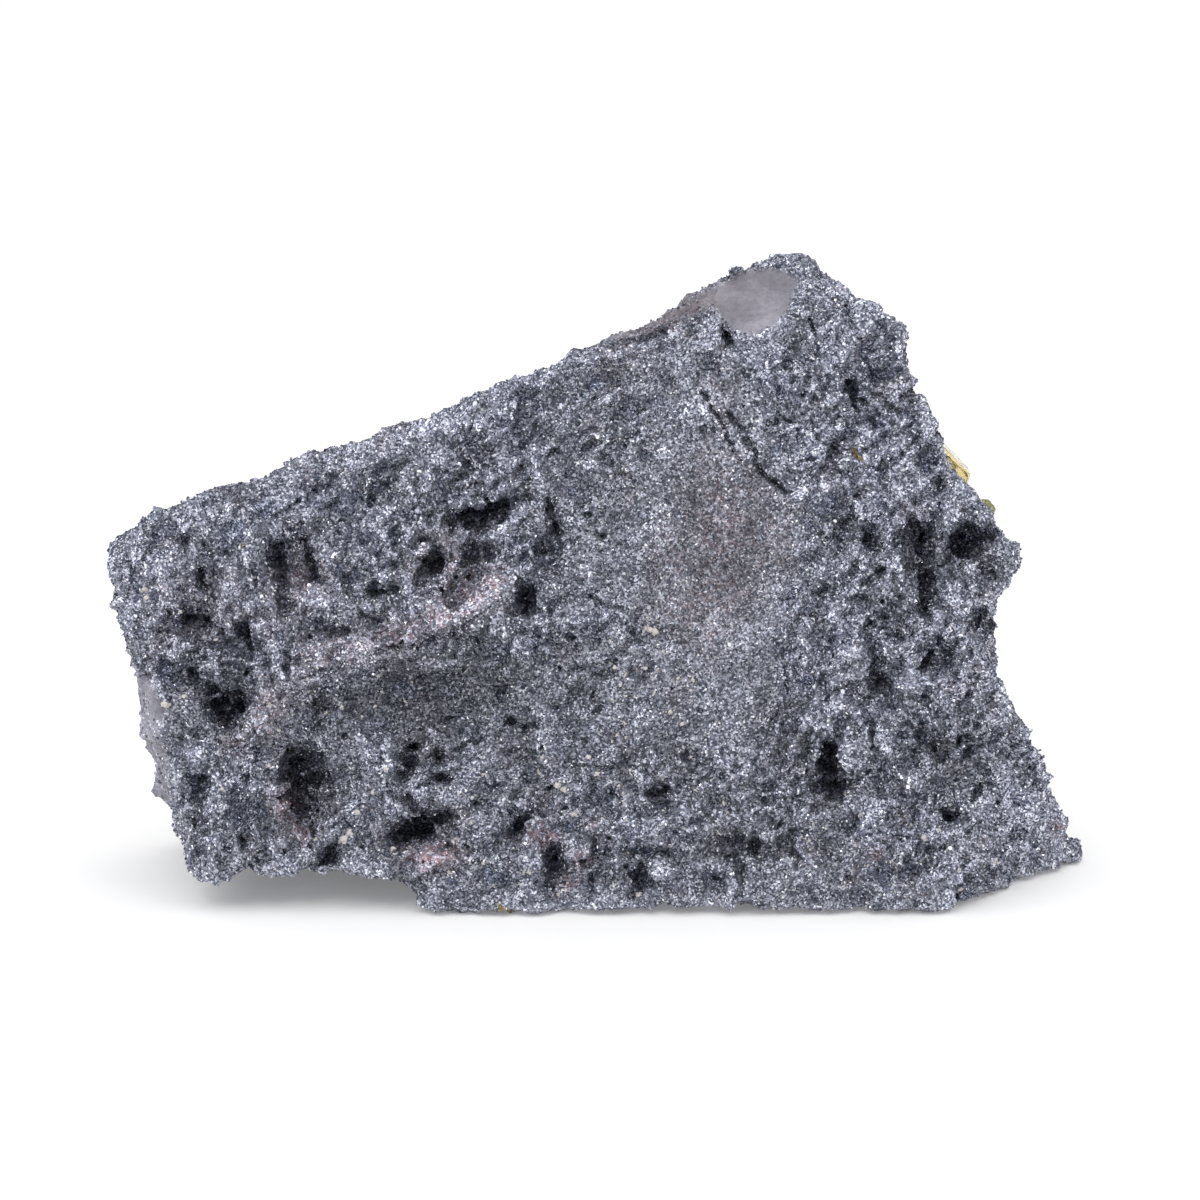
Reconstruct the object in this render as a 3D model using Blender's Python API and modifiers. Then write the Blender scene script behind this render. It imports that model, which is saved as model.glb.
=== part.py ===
"""A sturmanite specimen: a wedge of vuggy, dark iron and manganese ore that carries a small group of
honey-yellow hexagonal crystals on its back. Metres, +Z up, front face towards -Y, resting on z = 0."""

import math

import bmesh
import bpy
from mathutils import Matrix, Vector, noise

MM = 0.001

# The front face is a broad plane that leans back a little: y = FACE_Y + FACE_LEAN * z, in mm.
FACE_Y = -12.0
FACE_LEAN = 0.125

# The sides run straight back from the front outline as seen from this point, then draw in.
EYE = Vector((0.0, -203.7, 60.1))
STRAIGHT_DEPTH = 13.0
FULL_DEPTH = 30.0
STRAIGHT_SHRINK = 0.985
BACK_SHRINK = 0.84
BACK_CENTRE = (2.0, 13.0)

VOXEL = 0.5
MATRIX_TRIANGLES = 9300
SOCKET_GAP = 0.35

# Outline of the front, in mm across and up the front face, clockwise from the lower left corner.
OUTLINE = [
    (-24.5, 2.0), (-25.1, 5.0), (-25.9, 6.7), (-26.8, 8.0), (-27.3, 10.0), (-28.2, 11.9),
    (-28.1, 13.9), (-27.7, 14.4), (-27.9, 15.7), (-28.8, 16.8), (-29.3, 19.6), (-29.4, 21.0),
    (-29.3, 22.0), (-28.3, 23.0), (-26.8, 24.0), (-23.2, 25.3), (-21.3, 25.6), (-17.3, 27.3),
    (-13.7, 28.3), (-11.5, 29.4), (-6.0, 31.4), (-1.6, 33.1), (0.0, 34.1), (2.5, 35.0),
    (6.0, 36.8), (8.4, 38.4), (10.9, 39.7), (12.7, 39.2), (13.3, 38.2), (14.3, 37.3),
    (15.6, 36.3), (18.0, 35.1), (18.3, 33.0), (19.0, 30.3), (20.0, 29.3), (20.6, 27.3),
    (21.7, 26.1), (23.7, 22.9), (24.9, 21.4), (24.3, 20.2), (23.2, 19.4), (23.8, 18.5),
    (23.3, 17.6), (23.8, 14.6), (24.4, 12.6), (25.4, 11.5), (26.8, 8.8), (27.0, 7.0),
    (28.3, 5.7), (27.7, 4.9), (29.1, 3.2), (28.1, 2.3), (25.0, 1.4), (20.0, 0.3),
    (14.0, 0.1), (11.5, 0.7), (5.0, 0.8), (0.0, 0.6), (-3.0, 0.0), (-9.8, -0.1),
    (-10.9, 1.4), (-11.7, 2.5), (-17.0, 2.7), (-21.0, 2.1),
]

# Flat breaks: a point on each and the direction that it faces, in mm.
BREAKS = {
    "right flank": ((20.2, -12.0, 0.0), (0.75, -0.65, -0.05)),
    "left cheek": ((-25.2, -11.3, 5.5), (-0.95, -0.25, -0.20)),
    "top bevel": ((5.0, -7.7, 34.3), (-0.11, -0.47, 0.88)),
    "back": ((0.0, 10.5, 0.0), (0.02, 0.96, 0.28)),
    "right back": ((31.5, 0.5, 0.0), (0.50, 0.86, 0.10)),
    "left back": ((-29.0, 0.5, 10.0), (-0.42, 0.88, 0.22)),
    "upper back": ((8.0, 2.5, 37.0), (0.10, 0.75, 0.66)),
}

# Raised ribs of the front: points across and up the face, and the half width, in mm.
RIBS = [
    ([(-21.0, 11.0), (-19.0, 13.2), (-17.0, 15.5), (-14.0, 16.4), (-10.0, 17.8), (-5.0, 20.0)], 1.0),
    ([(-22.7, 20.2), (-22.9, 23.2)], 0.5),
    ([(-20.2, 19.4), (-19.6, 17.0), (-19.2, 15.8)], 0.6),
    ([(-22.2, 18.4), (-23.0, 16.4)], 0.5),
    ([(-9.2, 24.3), (-7.5, 25.0), (-5.5, 25.6), (-4.0, 26.1)], 0.6),
    ([(-7.4, 22.3), (-5.5, 23.2), (-4.0, 24.3)], 0.5),
    ([(15.3, 17.5), (16.8, 14.6), (18.3, 13.7), (19.9, 15.2), (21.6, 17.2)], 0.6),
    ([(15.3, 14.0), (13.8, 11.3)], 0.5),
    ([(16.8, 12.4), (17.6, 9.5), (19.2, 8.0), (20.1, 6.4), (20.5, 5.0), (21.3, 3.4)], 0.7),
    ([(11.5, 24.6), (14.6, 26.5)], 0.6),
    ([(15.5, 24.7), (19.6, 26.1)], 0.6),
    ([(20.9, 24.2), (21.0, 21.0), (20.6, 19.0)], 0.6),
]

# Swells and hollows of the front: across, up, half width, half height, tilt in degrees, rise.
SWELLS = [
    (-11.5, 13.2, 6.0, 1.9, 8.0, -1.5),
    (-21.5, 18.0, 6.0, 4.5, 0.0, -0.6),
    (-20.0, 8.5, 4.0, 4.0, 0.0, -0.4),
    (-10.0, 7.2, 1.5, 1.0, 0.0, 0.6),
    (-9.8, 3.2, 2.2, 1.4, 0.0, 0.5),
    (3.0, 3.8, 1.6, 1.4, 0.0, 0.4),
    (8.5, 4.2, 4.2, 1.0, 0.0, -0.7),
    (16.5, 5.5, 2.6, 1.6, 0.0, 0.4),
    (21.0, 9.3, 3.2, 2.2, 20.0, -1.0),
    (19.5, 21.0, 4.0, 4.0, 0.0, -0.6),
    (15.5, 31.5, 3.0, 2.0, 0.0, -0.5),
    (-7.0, 22.5, 3.5, 2.5, 20.0, -0.5),
    (6.0, 19.0, 5.0, 9.0, 0.0, 0.5),
]

# Pits of the front: across, up, half width, half height, tilt in degrees, depth.
PITS = [
    (-18.7, 21.5, 0.9, 1.4, 0.0, 2.4), (-17.0, 21.0, 0.5, 1.5, 5.0, 1.4),
    (-24.6, 17.8, 1.7, 0.9, 0.0, 1.8), (-21.5, 16.8, 1.3, 1.1, 0.0, 1.8),
    (-25.0, 14.6, 1.9, 0.8, 0.0, 1.5), (-22.2, 12.5, 1.0, 1.0, 0.0, 3.0),
    (-24.1, 7.6, 1.2, 1.3, 0.0, 1.3), (-18.0, 8.3, 1.3, 2.2, 0.0, 2.6),
    (-16.5, 3.6, 0.8, 0.9, 0.0, 1.6), (-9.8, 21.0, 0.8, 0.9, 0.0, 2.0),
    (-7.4, 21.5, 0.8, 0.7, 0.0, 1.6), (-7.0, 23.9, 1.7, 0.9, 15.0, 2.4),
    (-4.4, 19.2, 0.6, 1.0, 0.0, 1.6), (-2.8, 23.3, 0.7, 0.8, 0.0, 1.2),
    (-3.0, 21.8, 0.8, 0.7, 0.0, 1.2), (-11.5, 9.1, 0.7, 0.9, 0.0, 1.4),
    (-11.0, 5.2, 2.0, 0.9, 25.0, 2.6), (-5.1, 5.6, 0.7, 1.3, -20.0, 1.8),
    (-2.6, 3.2, 0.8, 1.0, 0.0, 1.6), (2.5, 2.2, 0.9, 1.0, 0.0, 1.6),
    (6.9, 2.4, 0.8, 0.7, 0.0, 1.4), (16.7, 32.3, 1.1, 0.6, 0.0, 1.6),
    (15.2, 30.9, 1.2, 1.3, 0.0, 1.6), (13.8, 27.9, 0.6, 0.9, 0.0, 1.8),
    (19.3, 27.2, 0.9, 1.1, 0.0, 1.0), (20.3, 26.3, 0.5, 0.9, 0.0, 1.4),
    (16.0, 22.3, 0.7, 0.8, 0.0, 1.6), (13.3, 19.2, 0.5, 1.0, 0.0, 1.4),
    (19.2, 22.4, 0.9, 1.3, 0.0, 2.4), (22.0, 22.4, 1.5, 0.9, 0.0, 2.4),
    (19.7, 19.0, 0.8, 1.3, 0.0, 1.8), (20.6, 15.6, 1.1, 1.1, 0.0, 1.6),
    (22.5, 17.4, 0.7, 0.6, 0.0, 1.4), (16.7, 14.4, 0.7, 1.9, -25.0, 1.2),
    (13.7, 8.8, 0.9, 1.8, 0.0, 2.8), (20.8, 5.8, 0.7, 0.8, 0.0, 1.4),
]

# Vugs of the hidden sides: centre and radii, in mm.
BACK_VUGS = [
    ((9.0, 10.2, 9.0), (4.2, 2.6, 2.8)), ((-6.0, 10.6, 6.0), (3.2, 2.4, 2.0)),
    ((-1.5, 7.6, 15.5), (2.6, 1.8, 3.4)), ((-15.0, 6.6, 12.0), (2.8, 2.0, 2.2)),
    ((6.5, 4.6, 24.0), (2.2, 1.8, 2.0)), ((-20.5, 3.0, 19.0), (2.4, 2.2, 1.6)),
    ((19.0, 6.6, 6.5), (2.2, 1.8, 1.6)), ((24.5, 3.6, 10.5), (1.6, 1.6, 2.2)),
    ((-9.0, 4.4, 24.0), (2.0, 2.6, 1.4)), ((13.5, 3.4, 30.5), (1.6, 1.4, 1.8)),
    ((-25.0, -1.0, 5.0), (1.8, 2.4, 1.4)), ((-12.0, -2.5, 29.0), (2.4, 1.6, 1.0)),
]

# Lumps that stand out of the hidden sides: centre and radii, in mm.
LUMPS = [
    ((-24.2, -2.5, 10.7), (4.5, 4.6, 3.0)), ((13.0, 6.2, 13.5), (6.0, 3.2, 6.0)),
    ((-9.0, 6.6, 12.0), (6.0, 3.4, 4.0)), ((0.0, 8.4, 3.5), (9.0, 3.4, 4.0)),
    ((1.5, 2.4, 26.0), (6.0, 3.2, 5.0)),
]

# What the underside stands clear of the ground by: centre and radii of each hollow, in mm.
UNDER_HOLLOWS = [
    ((-20.5, -4.0, -0.6), (11.0, 13.0, 3.2)),
    ((4.5, -2.0, -1.4), (8.0, 6.5, 2.4)),
]

# A crystal's point: its height in radii, and how narrow its flat end is.
POINT_HEIGHT = 0.42
POINT_NARROWS = 0.45

# The vug that the crystals stand in: centre and radii, in mm.
CRYSTAL_VUG = ((21.0, 4.0, 23.4), (5.6, 6.0, 5.4))

# Crystals: foot, direction, radius across corners, length and turn in degrees, in mm.
MAIN_CRYSTALS = [
    ((19.7, -3.5, 24.6), (0.10, 0.98, -0.12), 2.9, 9.4, 16.0),
    ((16.4, -1.0, 22.0), (-0.28, 0.93, 0.05), 2.3, 7.4, 40.0),
    ((20.6, -2.6, 20.4), (0.22, 0.96, -0.20), 2.1, 7.4, 5.0),
    ((16.2, -0.4, 26.0), (-0.20, 0.90, 0.32), 1.8, 6.2, 22.0),
    ((17.6, -0.6, 18.8), (-0.05, 0.93, -0.34), 1.6, 5.8, 50.0),
    ((14.8, -0.2, 23.6), (-0.45, 0.88, 0.12), 1.4, 5.2, 10.0),
]
SMALL_CRYSTALS = [
    ((22.9, -5.4, 22.7), (0.25, 0.90, 0.20), 0.7, 2.6, 20.0),
    ((23.1, -5.2, 21.9), (0.45, 0.85, -0.10), 0.55, 2.2, 45.0),
]

# The flat middle of the front is less ribbed than the rest: across, up, half width, half height.
SMOOTH_MIDDLE = (6.0, 20.5, 7.0, 15.0)
SMOOTH_SHARE = 0.25

# Roughness, all in mm: the size of each kind of unevenness, and how far it lifts the surface.
COARSE_SIZE = 8.0
FINE_SIZE = 1.6
WALL_SIZE = 2.7
FRONT_LIFTS = {"coarse": 0.2, "fine": 0.15, "walls": 1.2, "sink": 0.6}
SIDE_LIFTS = {"coarse": 1.3, "fine": 0.25, "walls": 0.9, "sink": 0.5}
RIM_LIFTS = {"coarse": 0.0, "fine": 0.15, "walls": 0.35, "sink": 0.2}

# Near the front outline the sides stay close to it, in mm behind the face and in mm outwards.
RIM_DEPTH = 6.0
RIM_RISE = 0.1
REAR_RISE = 3.0


def start_scene():
    """An empty scene with one collection for the specimen and one for what shapes it."""
    for obj in list(bpy.data.objects):
        bpy.data.objects.remove(obj, do_unlink=True)
    made = []
    for name in ("sturmanite_specimen", "cutters"):
        group = bpy.data.collections.new(name)
        bpy.context.scene.collection.children.link(group)
        made.append(group)
    return made


def material(name, colour, roughness, metallic, transmission=0.0):
    finish = bpy.data.materials.new(name)
    finish.use_nodes = True
    finish.diffuse_color = (*colour, 1.0)
    shader = finish.node_tree.nodes["Principled BSDF"]
    shader.inputs["Base Color"].default_value = (*colour, 1.0)
    shader.inputs["Roughness"].default_value = roughness
    shader.inputs["Metallic"].default_value = metallic
    shader.inputs["Transmission Weight"].default_value = transmission
    return finish


def face_point(across, up, back=0.0):
    """A point of the front face, moved straight back from the eye by `back`. In and out in mm."""
    on_face = Vector((across, FACE_Y + FACE_LEAN * up, up))
    return on_face + (on_face - EYE).normalized() * back


def add_object(name, mesh, group):
    obj = bpy.data.objects.new(name, mesh)
    group.objects.link(obj)
    return obj


def mesh_object(name, bm, group):
    mesh = bpy.data.meshes.new(name)
    bm.to_mesh(mesh)
    bm.free()
    return add_object(name, mesh, group)


def as_cutter(obj):
    obj.hide_render = True
    obj.display_type = "WIRE"
    return obj


def settle(obj):
    """Makes the modifiers part of the object's mesh."""
    graph = bpy.context.evaluated_depsgraph_get()
    mesh = bpy.data.meshes.new_from_object(obj.evaluated_get(graph))
    obj.modifiers.clear()
    obj.data = mesh


def remesh(obj, voxel):
    modifier = obj.modifiers.new("remesh", "REMESH")
    modifier.mode = "VOXEL"
    modifier.voxel_size = voxel * MM
    settle(obj)


def boolean(obj, other, operation, solver="EXACT"):
    """The stone's voxel skin can touch itself, which EXACT fails on, so its cuts use MANIFOLD."""
    modifier = obj.modifiers.new(operation.lower(), "BOOLEAN")
    modifier.operation = operation
    modifier.solver = solver
    modifier.object = other
    settle(obj)


def curve_mesh(curve):
    """The closed mesh of a curve, with its caps welded on."""
    holder = bpy.data.objects.new(curve.name, curve)
    bpy.context.scene.collection.objects.link(holder)
    graph = bpy.context.evaluated_depsgraph_get()
    mesh = bpy.data.meshes.new_from_object(holder.evaluated_get(graph))
    bm = bmesh.new()
    bm.from_mesh(mesh)
    bmesh.ops.remove_doubles(bm, verts=bm.verts[:], dist=1e-6)
    bpy.data.objects.remove(holder, do_unlink=True)
    bpy.data.meshes.remove(mesh)
    return bm


def outline_curve():
    curve = bpy.data.curves.new("outline", "CURVE")
    curve.dimensions = "2D"
    curve.fill_mode = "BOTH"
    curve.extrude = 1.0
    spline = curve.splines.new("POLY")
    spline.points.add(len(OUTLINE) - 1)
    for point, (across, up) in zip(spline.points, OUTLINE):
        point.co = (across, up, 0.0, 1.0)
    spline.use_cyclic_u = True
    return curve


def break_off(bm, point, facing):
    """Takes away what lies past a flat break, and closes the cut."""
    everything = bm.verts[:] + bm.edges[:] + bm.faces[:]
    bmesh.ops.bisect_plane(
        bm,
        geom=everything,
        plane_co=Vector(point) * MM,
        plane_no=Vector(facing).normalized(),
        clear_outer=True,
    )
    bmesh.ops.holes_fill(bm, edges=bm.edges[:], sides=0)
    bmesh.ops.triangulate(bm, faces=bm.faces[:])


def block():
    """The block that the outline gives, broken off flat on its other sides."""
    bm = curve_mesh(outline_curve())
    everything = bm.verts[:] + bm.edges[:] + bm.faces[:]
    bmesh.ops.bisect_plane(bm, geom=everything, plane_co=(0, 0, 0), plane_no=(0, 0, 1))
    middle_across, middle_up = BACK_CENTRE
    for vertex in bm.verts:
        across, up, layer = vertex.co
        if layer > 0.5:
            depth, shrink = 0.0, 1.0
        elif layer > -0.5:
            depth, shrink = STRAIGHT_DEPTH, STRAIGHT_SHRINK
        else:
            depth, shrink = FULL_DEPTH, BACK_SHRINK
        across = middle_across + (across - middle_across) * shrink
        up = middle_up + (up - middle_up) * shrink
        vertex.co = face_point(across, up, depth) * MM
    bmesh.ops.triangulate(bm, faces=bm.faces[:])
    for point, facing in BREAKS.values():
        break_off(bm, point, facing)
    return bm


def add_blob(bm, centre, radii, turn=None):
    """A rough ellipsoid, its radii along its own axes."""
    place = Matrix.Translation(Vector(centre) * MM) @ (turn or Matrix.Identity(4))
    place = place @ Matrix.Diagonal((*(Vector(radii) * MM), 1.0))
    made = bmesh.ops.create_icosphere(bm, subdivisions=3, radius=1.0, matrix=place)
    middle = Vector(centre) * MM
    for vertex in made["verts"]:
        coarse = noise.noise(vertex.co / MM * 0.9)
        fine = noise.noise(vertex.co / MM * 2.1)
        vertex.co = middle + (vertex.co - middle) * (1.0 + 0.35 * coarse + 0.2 * fine)


def add_rib(bm, points, half_width):
    """A raised rib that follows the front face."""
    curve = bpy.data.curves.new("rib", "CURVE")
    curve.dimensions = "3D"
    curve.bevel_depth = half_width * MM
    curve.bevel_resolution = 2
    curve.use_fill_caps = True
    spline = curve.splines.new("POLY")
    spline.points.add(len(points) - 1)
    for step, (across, up) in enumerate(points):
        at_end = step in (0, len(points) - 1)
        spline.points[step].co = (*(face_point(across, up, 0.1) * MM), 1.0)
        spline.points[step].radius = 0.7 if at_end else 1.0
    tube = curve_mesh(curve)
    mesh = bpy.data.meshes.new("rib")
    tube.to_mesh(mesh)
    tube.free()
    bm.from_mesh(mesh)
    bpy.data.meshes.remove(mesh)


def swell_rise(across, up):
    """How far the swells and hollows lift the front face at a place, in mm."""
    rise = 0.0
    for x, z, half_width, half_height, tilt, height in SWELLS:
        turn = math.radians(tilt)
        along = (across - x) * math.cos(turn) + (up - z) * math.sin(turn)
        over = (up - z) * math.cos(turn) - (across - x) * math.sin(turn)
        spread = (along / half_width) ** 2 + (over / half_height) ** 2
        rise += height * math.exp(-spread)
    return rise


def vugginess(across, up):
    """How ribbed the front is at a place: 1 at the sides, SMOOTH_SHARE in the flat middle."""
    x, z, half_width, half_height = SMOOTH_MIDDLE
    spread = ((across - x) / half_width) ** 4 + ((up - z) / half_height) ** 4
    return 1.0 - (1.0 - SMOOTH_SHARE) * math.exp(-spread)


def walls(place):
    """Thin walls round rounded cells: 1 on a wall, down to 0 inside a cell."""
    drift = Vector((noise.noise(place / COARSE_SIZE), noise.noise(place.zxy / COARSE_SIZE), 0.0))
    nearest = noise.voronoi(place / WALL_SIZE + drift)[0]
    return max(0.0, 1.0 - 2.2 * (nearest[1] - nearest[0]))


def lift(grain, amounts, wall_share=1.0):
    """The lift of one part of the surface, in mm, from its three kinds of unevenness."""
    uneven = amounts["coarse"] * grain["coarse"] + amounts["fine"] * grain["fine"]
    return uneven + wall_share * (amounts["walls"] * grain["walls"] - amounts["sink"])


def skin_move(place, normal):
    """How far the skin moves out at a place, in mm: swells on the front, a coarser break elsewhere."""
    grain = {
        "coarse": noise.fractal(place / COARSE_SIZE, 1.0, 2.0, 3),
        "fine": noise.fractal(place.yzx / FINE_SIZE, 1.0, 2.0, 2),
        "walls": walls(place),
    }
    front = swell_rise(place.x, place.z) + lift(grain, FRONT_LIFTS, vugginess(place.x, place.z))
    behind = place.y - FACE_Y - FACE_LEAN * place.z
    rearness = max(0.0, min(1.0, behind / RIM_DEPTH - 1.0))
    side = min(lift(grain, SIDE_LIFTS), RIM_RISE + REAR_RISE * rearness)
    side = side * rearness + lift(grain, RIM_LIFTS) * (1.0 - rearness)
    frontness = max(0.0, min(1.0, -2.0 * normal.y - 0.4))
    return front * frontness + side * (1.0 - frontness)


def roughen(obj):
    """Moves every point of the skin out or in along its normal."""
    bm = bmesh.new()
    bm.from_mesh(obj.data)
    bm.normal_update()
    moves = [vertex.normal * skin_move(vertex.co / MM, vertex.normal) * MM for vertex in bm.verts]
    for vertex, move in zip(bm.verts, moves):
        vertex.co += move
    bm.to_mesh(obj.data)
    bm.free()


def pit_cutter(group):
    """Every pit and vug as one closed cutter."""
    bm = bmesh.new()
    for across, up, half_width, half_height, tilt, depth in PITS:
        turn = Matrix.Rotation(-math.radians(tilt), 4, "Y")
        add_blob(bm, face_point(across, up, 0.1 * depth), (half_width, depth, half_height), turn)
    for centre, radii in BACK_VUGS:
        add_blob(bm, centre, radii)
    for centre, radii in UNDER_HOLLOWS:
        add_blob(bm, centre, radii)
    add_blob(bm, *CRYSTAL_VUG)
    cutter = as_cutter(mesh_object("pits", bm, group))
    remesh(cutter, 0.3)
    return cutter


def floor_cutter(group):
    """All that would reach below the ground."""
    bm = bmesh.new()
    bmesh.ops.create_cube(bm, size=1.0)
    bmesh.ops.scale(bm, vec=(0.12, 0.12, 0.02), verts=bm.verts)
    bmesh.ops.translate(bm, vec=(0.0, 0.0, -0.01), verts=bm.verts)
    return as_cutter(mesh_object("ground", bm, group))


def largest_piece(obj):
    """Deletes crumbs that a cut set free."""
    bm = bmesh.new()
    bm.from_mesh(obj.data)
    left = set(bm.verts)
    pieces = []
    while left:
        piece = []
        reached = [left.pop()]
        while reached:
            vertex = reached.pop()
            piece.append(vertex)
            for edge in vertex.link_edges:
                other = edge.other_vert(vertex)
                if other in left:
                    left.remove(other)
                    reached.append(other)
        pieces.append(piece)
    pieces.sort(key=len)
    for piece in pieces[:-1]:
        bmesh.ops.delete(bm, geom=piece, context="VERTS")
    bm.to_mesh(obj.data)
    bm.free()


def crystal(bm, foot, direction, radius, length, turn, grow=0.0):
    """One hexagonal prism with a low six-sided point cut off flat, `grow` larger all round."""
    axis = Vector(direction).normalized()
    level = Vector((1.0, 0.0, 0.0))
    level = (level - axis * level.dot(axis)).normalized()
    frame = Matrix((level, axis.cross(level), axis)).transposed().to_4x4()
    place = Matrix.Translation(Vector(foot) * MM) @ frame @ Matrix.Rotation(math.radians(turn), 4, "Z")
    corners = (radius + grow / math.cos(math.radians(30.0))) * MM
    low = -grow * MM
    shoulder = (length - POINT_HEIGHT * radius + grow) * MM
    prism = bmesh.ops.create_cone(
        bm,
        cap_ends=True,
        segments=6,
        radius1=corners,
        radius2=corners,
        depth=shoulder - low,
        matrix=Matrix.Translation((0.0, 0.0, (shoulder + low) / 2)),
    )
    bm.normal_update()
    top = [face for face in bm.faces if face.normal.z > 0.9]
    raised = bmesh.ops.extrude_face_region(bm, geom=top)["geom"]
    tip = [item for item in raised if isinstance(item, bmesh.types.BMVert)]
    bmesh.ops.delete(bm, geom=top, context="FACES_ONLY")
    bmesh.ops.scale(bm, vec=(POINT_NARROWS, POINT_NARROWS, 1.0), verts=tip)
    bmesh.ops.translate(bm, vec=(0.0, 0.0, POINT_HEIGHT * radius * MM), verts=tip)
    bmesh.ops.transform(bm, matrix=place, verts=prism["verts"] + tip)


def crystal_group(name, crystals, group, grow=0.0):
    """Crystals grown together, as one solid."""
    whole = None
    for number, (foot, direction, radius, length, turn) in enumerate(crystals):
        bm = bmesh.new()
        crystal(bm, foot, direction, radius, length, turn, grow)
        bmesh.ops.recalc_face_normals(bm, faces=bm.faces[:])
        one = mesh_object(f"{name}_{number}", bm, group)
        if whole is None:
            whole = one
        else:
            boolean(whole, one, "UNION")
            bpy.data.objects.remove(one, do_unlink=True)
    whole.name = name
    return whole


def thin_out(obj, triangles):
    """Lowers the number of triangles, keeping most where the surface bends most."""
    bm = bmesh.new()
    bm.from_mesh(obj.data)
    bmesh.ops.triangulate(bm, faces=bm.faces[:])
    bm.to_mesh(obj.data)
    bm.free()
    modifier = obj.modifiers.new("thin out", "DECIMATE")
    modifier.ratio = triangles / len(obj.data.polygons)
    settle(obj)


def matrix_stone(parts, cutters, sockets):
    """The ore: the broken block with its ribs, swells, pits and the crystals' sockets."""
    bm = block()
    for points, half_width in RIBS:
        add_rib(bm, points, half_width)
    for centre, radii in LUMPS:
        add_blob(bm, centre, radii)
    stone = mesh_object("matrix", bm, parts)
    remesh(stone, VOXEL)
    roughen(stone)
    boolean(stone, pit_cutter(cutters), "DIFFERENCE", "MANIFOLD")
    remesh(stone, VOXEL)
    largest_piece(stone)
    thin_out(stone, MATRIX_TRIANGLES)
    boolean(stone, floor_cutter(cutters), "DIFFERENCE", "MANIFOLD")
    for socket in sockets:
        boolean(stone, socket, "DIFFERENCE", "MANIFOLD")
    largest_piece(stone)
    stone.data.shade_flat()
    return stone


def centre_on_base(parts):
    """Moves the specimen so that the middle of its box's underside is the origin."""
    corners = [vertex.co for obj in parts.objects for vertex in obj.data.vertices]
    low = Vector(min(corner[axis] for corner in corners) for axis in range(3))
    high = Vector(max(corner[axis] for corner in corners) for axis in range(3))
    shift = Vector((-(low.x + high.x) / 2, -(low.y + high.y) / 2, -low.z))
    for obj in parts.objects:
        obj.data.transform(Matrix.Translation(shift))
    print("moved by", [round(value / MM, 4) for value in shift], "mm")
    print("size", [round(value / MM, 3) for value in high - low], "mm")


def main():
    parts, cutters = start_scene()
    main_group = crystal_group("sturmanite_main", MAIN_CRYSTALS, parts)
    small_group = crystal_group("sturmanite_small", SMALL_CRYSTALS, parts)
    sockets = [
        as_cutter(crystal_group("main_socket", MAIN_CRYSTALS, cutters, SOCKET_GAP)),
        as_cutter(crystal_group("small_socket", SMALL_CRYSTALS, cutters, SOCKET_GAP)),
    ]
    stone = matrix_stone(parts, cutters, sockets)
    stone.data.materials.append(material("hematite ore", (0.075, 0.083, 0.10), 0.45, 0.55))
    honey = material("honey sturmanite", (0.86, 0.55, 0.13), 0.18, 0.0, 0.6)
    main_group.data.materials.append(honey)
    small_group.data.materials.append(honey)
    centre_on_base(parts)


main()
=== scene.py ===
# Sturmanite specimen: a wedge of glittering, vuggy ore with honey-yellow crystals on its back
import math
import random
import bpy
import numpy as np
from mathutils import Matrix, Vector, noise
from mathutils.bvhtree import BVHTree


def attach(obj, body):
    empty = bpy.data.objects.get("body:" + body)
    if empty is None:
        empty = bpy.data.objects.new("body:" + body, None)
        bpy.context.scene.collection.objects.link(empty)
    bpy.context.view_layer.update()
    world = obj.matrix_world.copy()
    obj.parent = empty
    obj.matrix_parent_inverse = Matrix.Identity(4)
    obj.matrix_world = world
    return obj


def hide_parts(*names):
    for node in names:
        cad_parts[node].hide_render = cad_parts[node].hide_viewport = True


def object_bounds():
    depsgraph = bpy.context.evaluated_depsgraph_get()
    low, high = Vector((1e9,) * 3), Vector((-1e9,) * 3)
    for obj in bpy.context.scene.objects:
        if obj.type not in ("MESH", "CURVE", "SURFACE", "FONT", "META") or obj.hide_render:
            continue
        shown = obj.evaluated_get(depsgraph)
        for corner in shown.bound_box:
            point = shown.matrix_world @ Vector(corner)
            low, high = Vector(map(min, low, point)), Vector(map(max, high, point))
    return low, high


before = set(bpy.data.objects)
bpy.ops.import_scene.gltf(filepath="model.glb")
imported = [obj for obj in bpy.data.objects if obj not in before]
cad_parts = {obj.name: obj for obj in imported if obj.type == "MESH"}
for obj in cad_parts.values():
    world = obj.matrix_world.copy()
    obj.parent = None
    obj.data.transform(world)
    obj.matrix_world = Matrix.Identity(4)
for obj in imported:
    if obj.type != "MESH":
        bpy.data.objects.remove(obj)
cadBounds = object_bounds()
mm = 0.001
noise.seed_set(7)     # vector noise would otherwise start from the clock, and differ on every run

# The front face is the plane y = faceY + faceLean * z, and places on it are given as mm across and up.
# A place is carried on to the skin along the line of sight, so it also reaches the bevel and the flank.
view = dict(
    elevation=12.0,     # degrees above level
    distance=208.3,     # mm from the point looked at
    height=16.8,        # mm, the point looked at
    lens=100.0,
    sensor=36.0,
    faceY=-12.0,
    faceLean=0.125,
    shift=(-0.197, -0.097),     # mm, where the face's own origin lies in the part
    seen=0.15,          # how squarely a place must face the eye to count as in view
)


def eyePlace():
    turn = math.radians(view["elevation"])
    across, back = view["shift"]
    y = back - view["distance"] * math.cos(turn)
    return Vector((across, y, view["height"] + view["distance"] * math.sin(turn)))


eye = eyePlace()


def facePoint(across, up):
    shiftX, shiftY = view["shift"]
    return Vector((across + shiftX, view["faceY"] + view["faceLean"] * up + shiftY, up))


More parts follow.
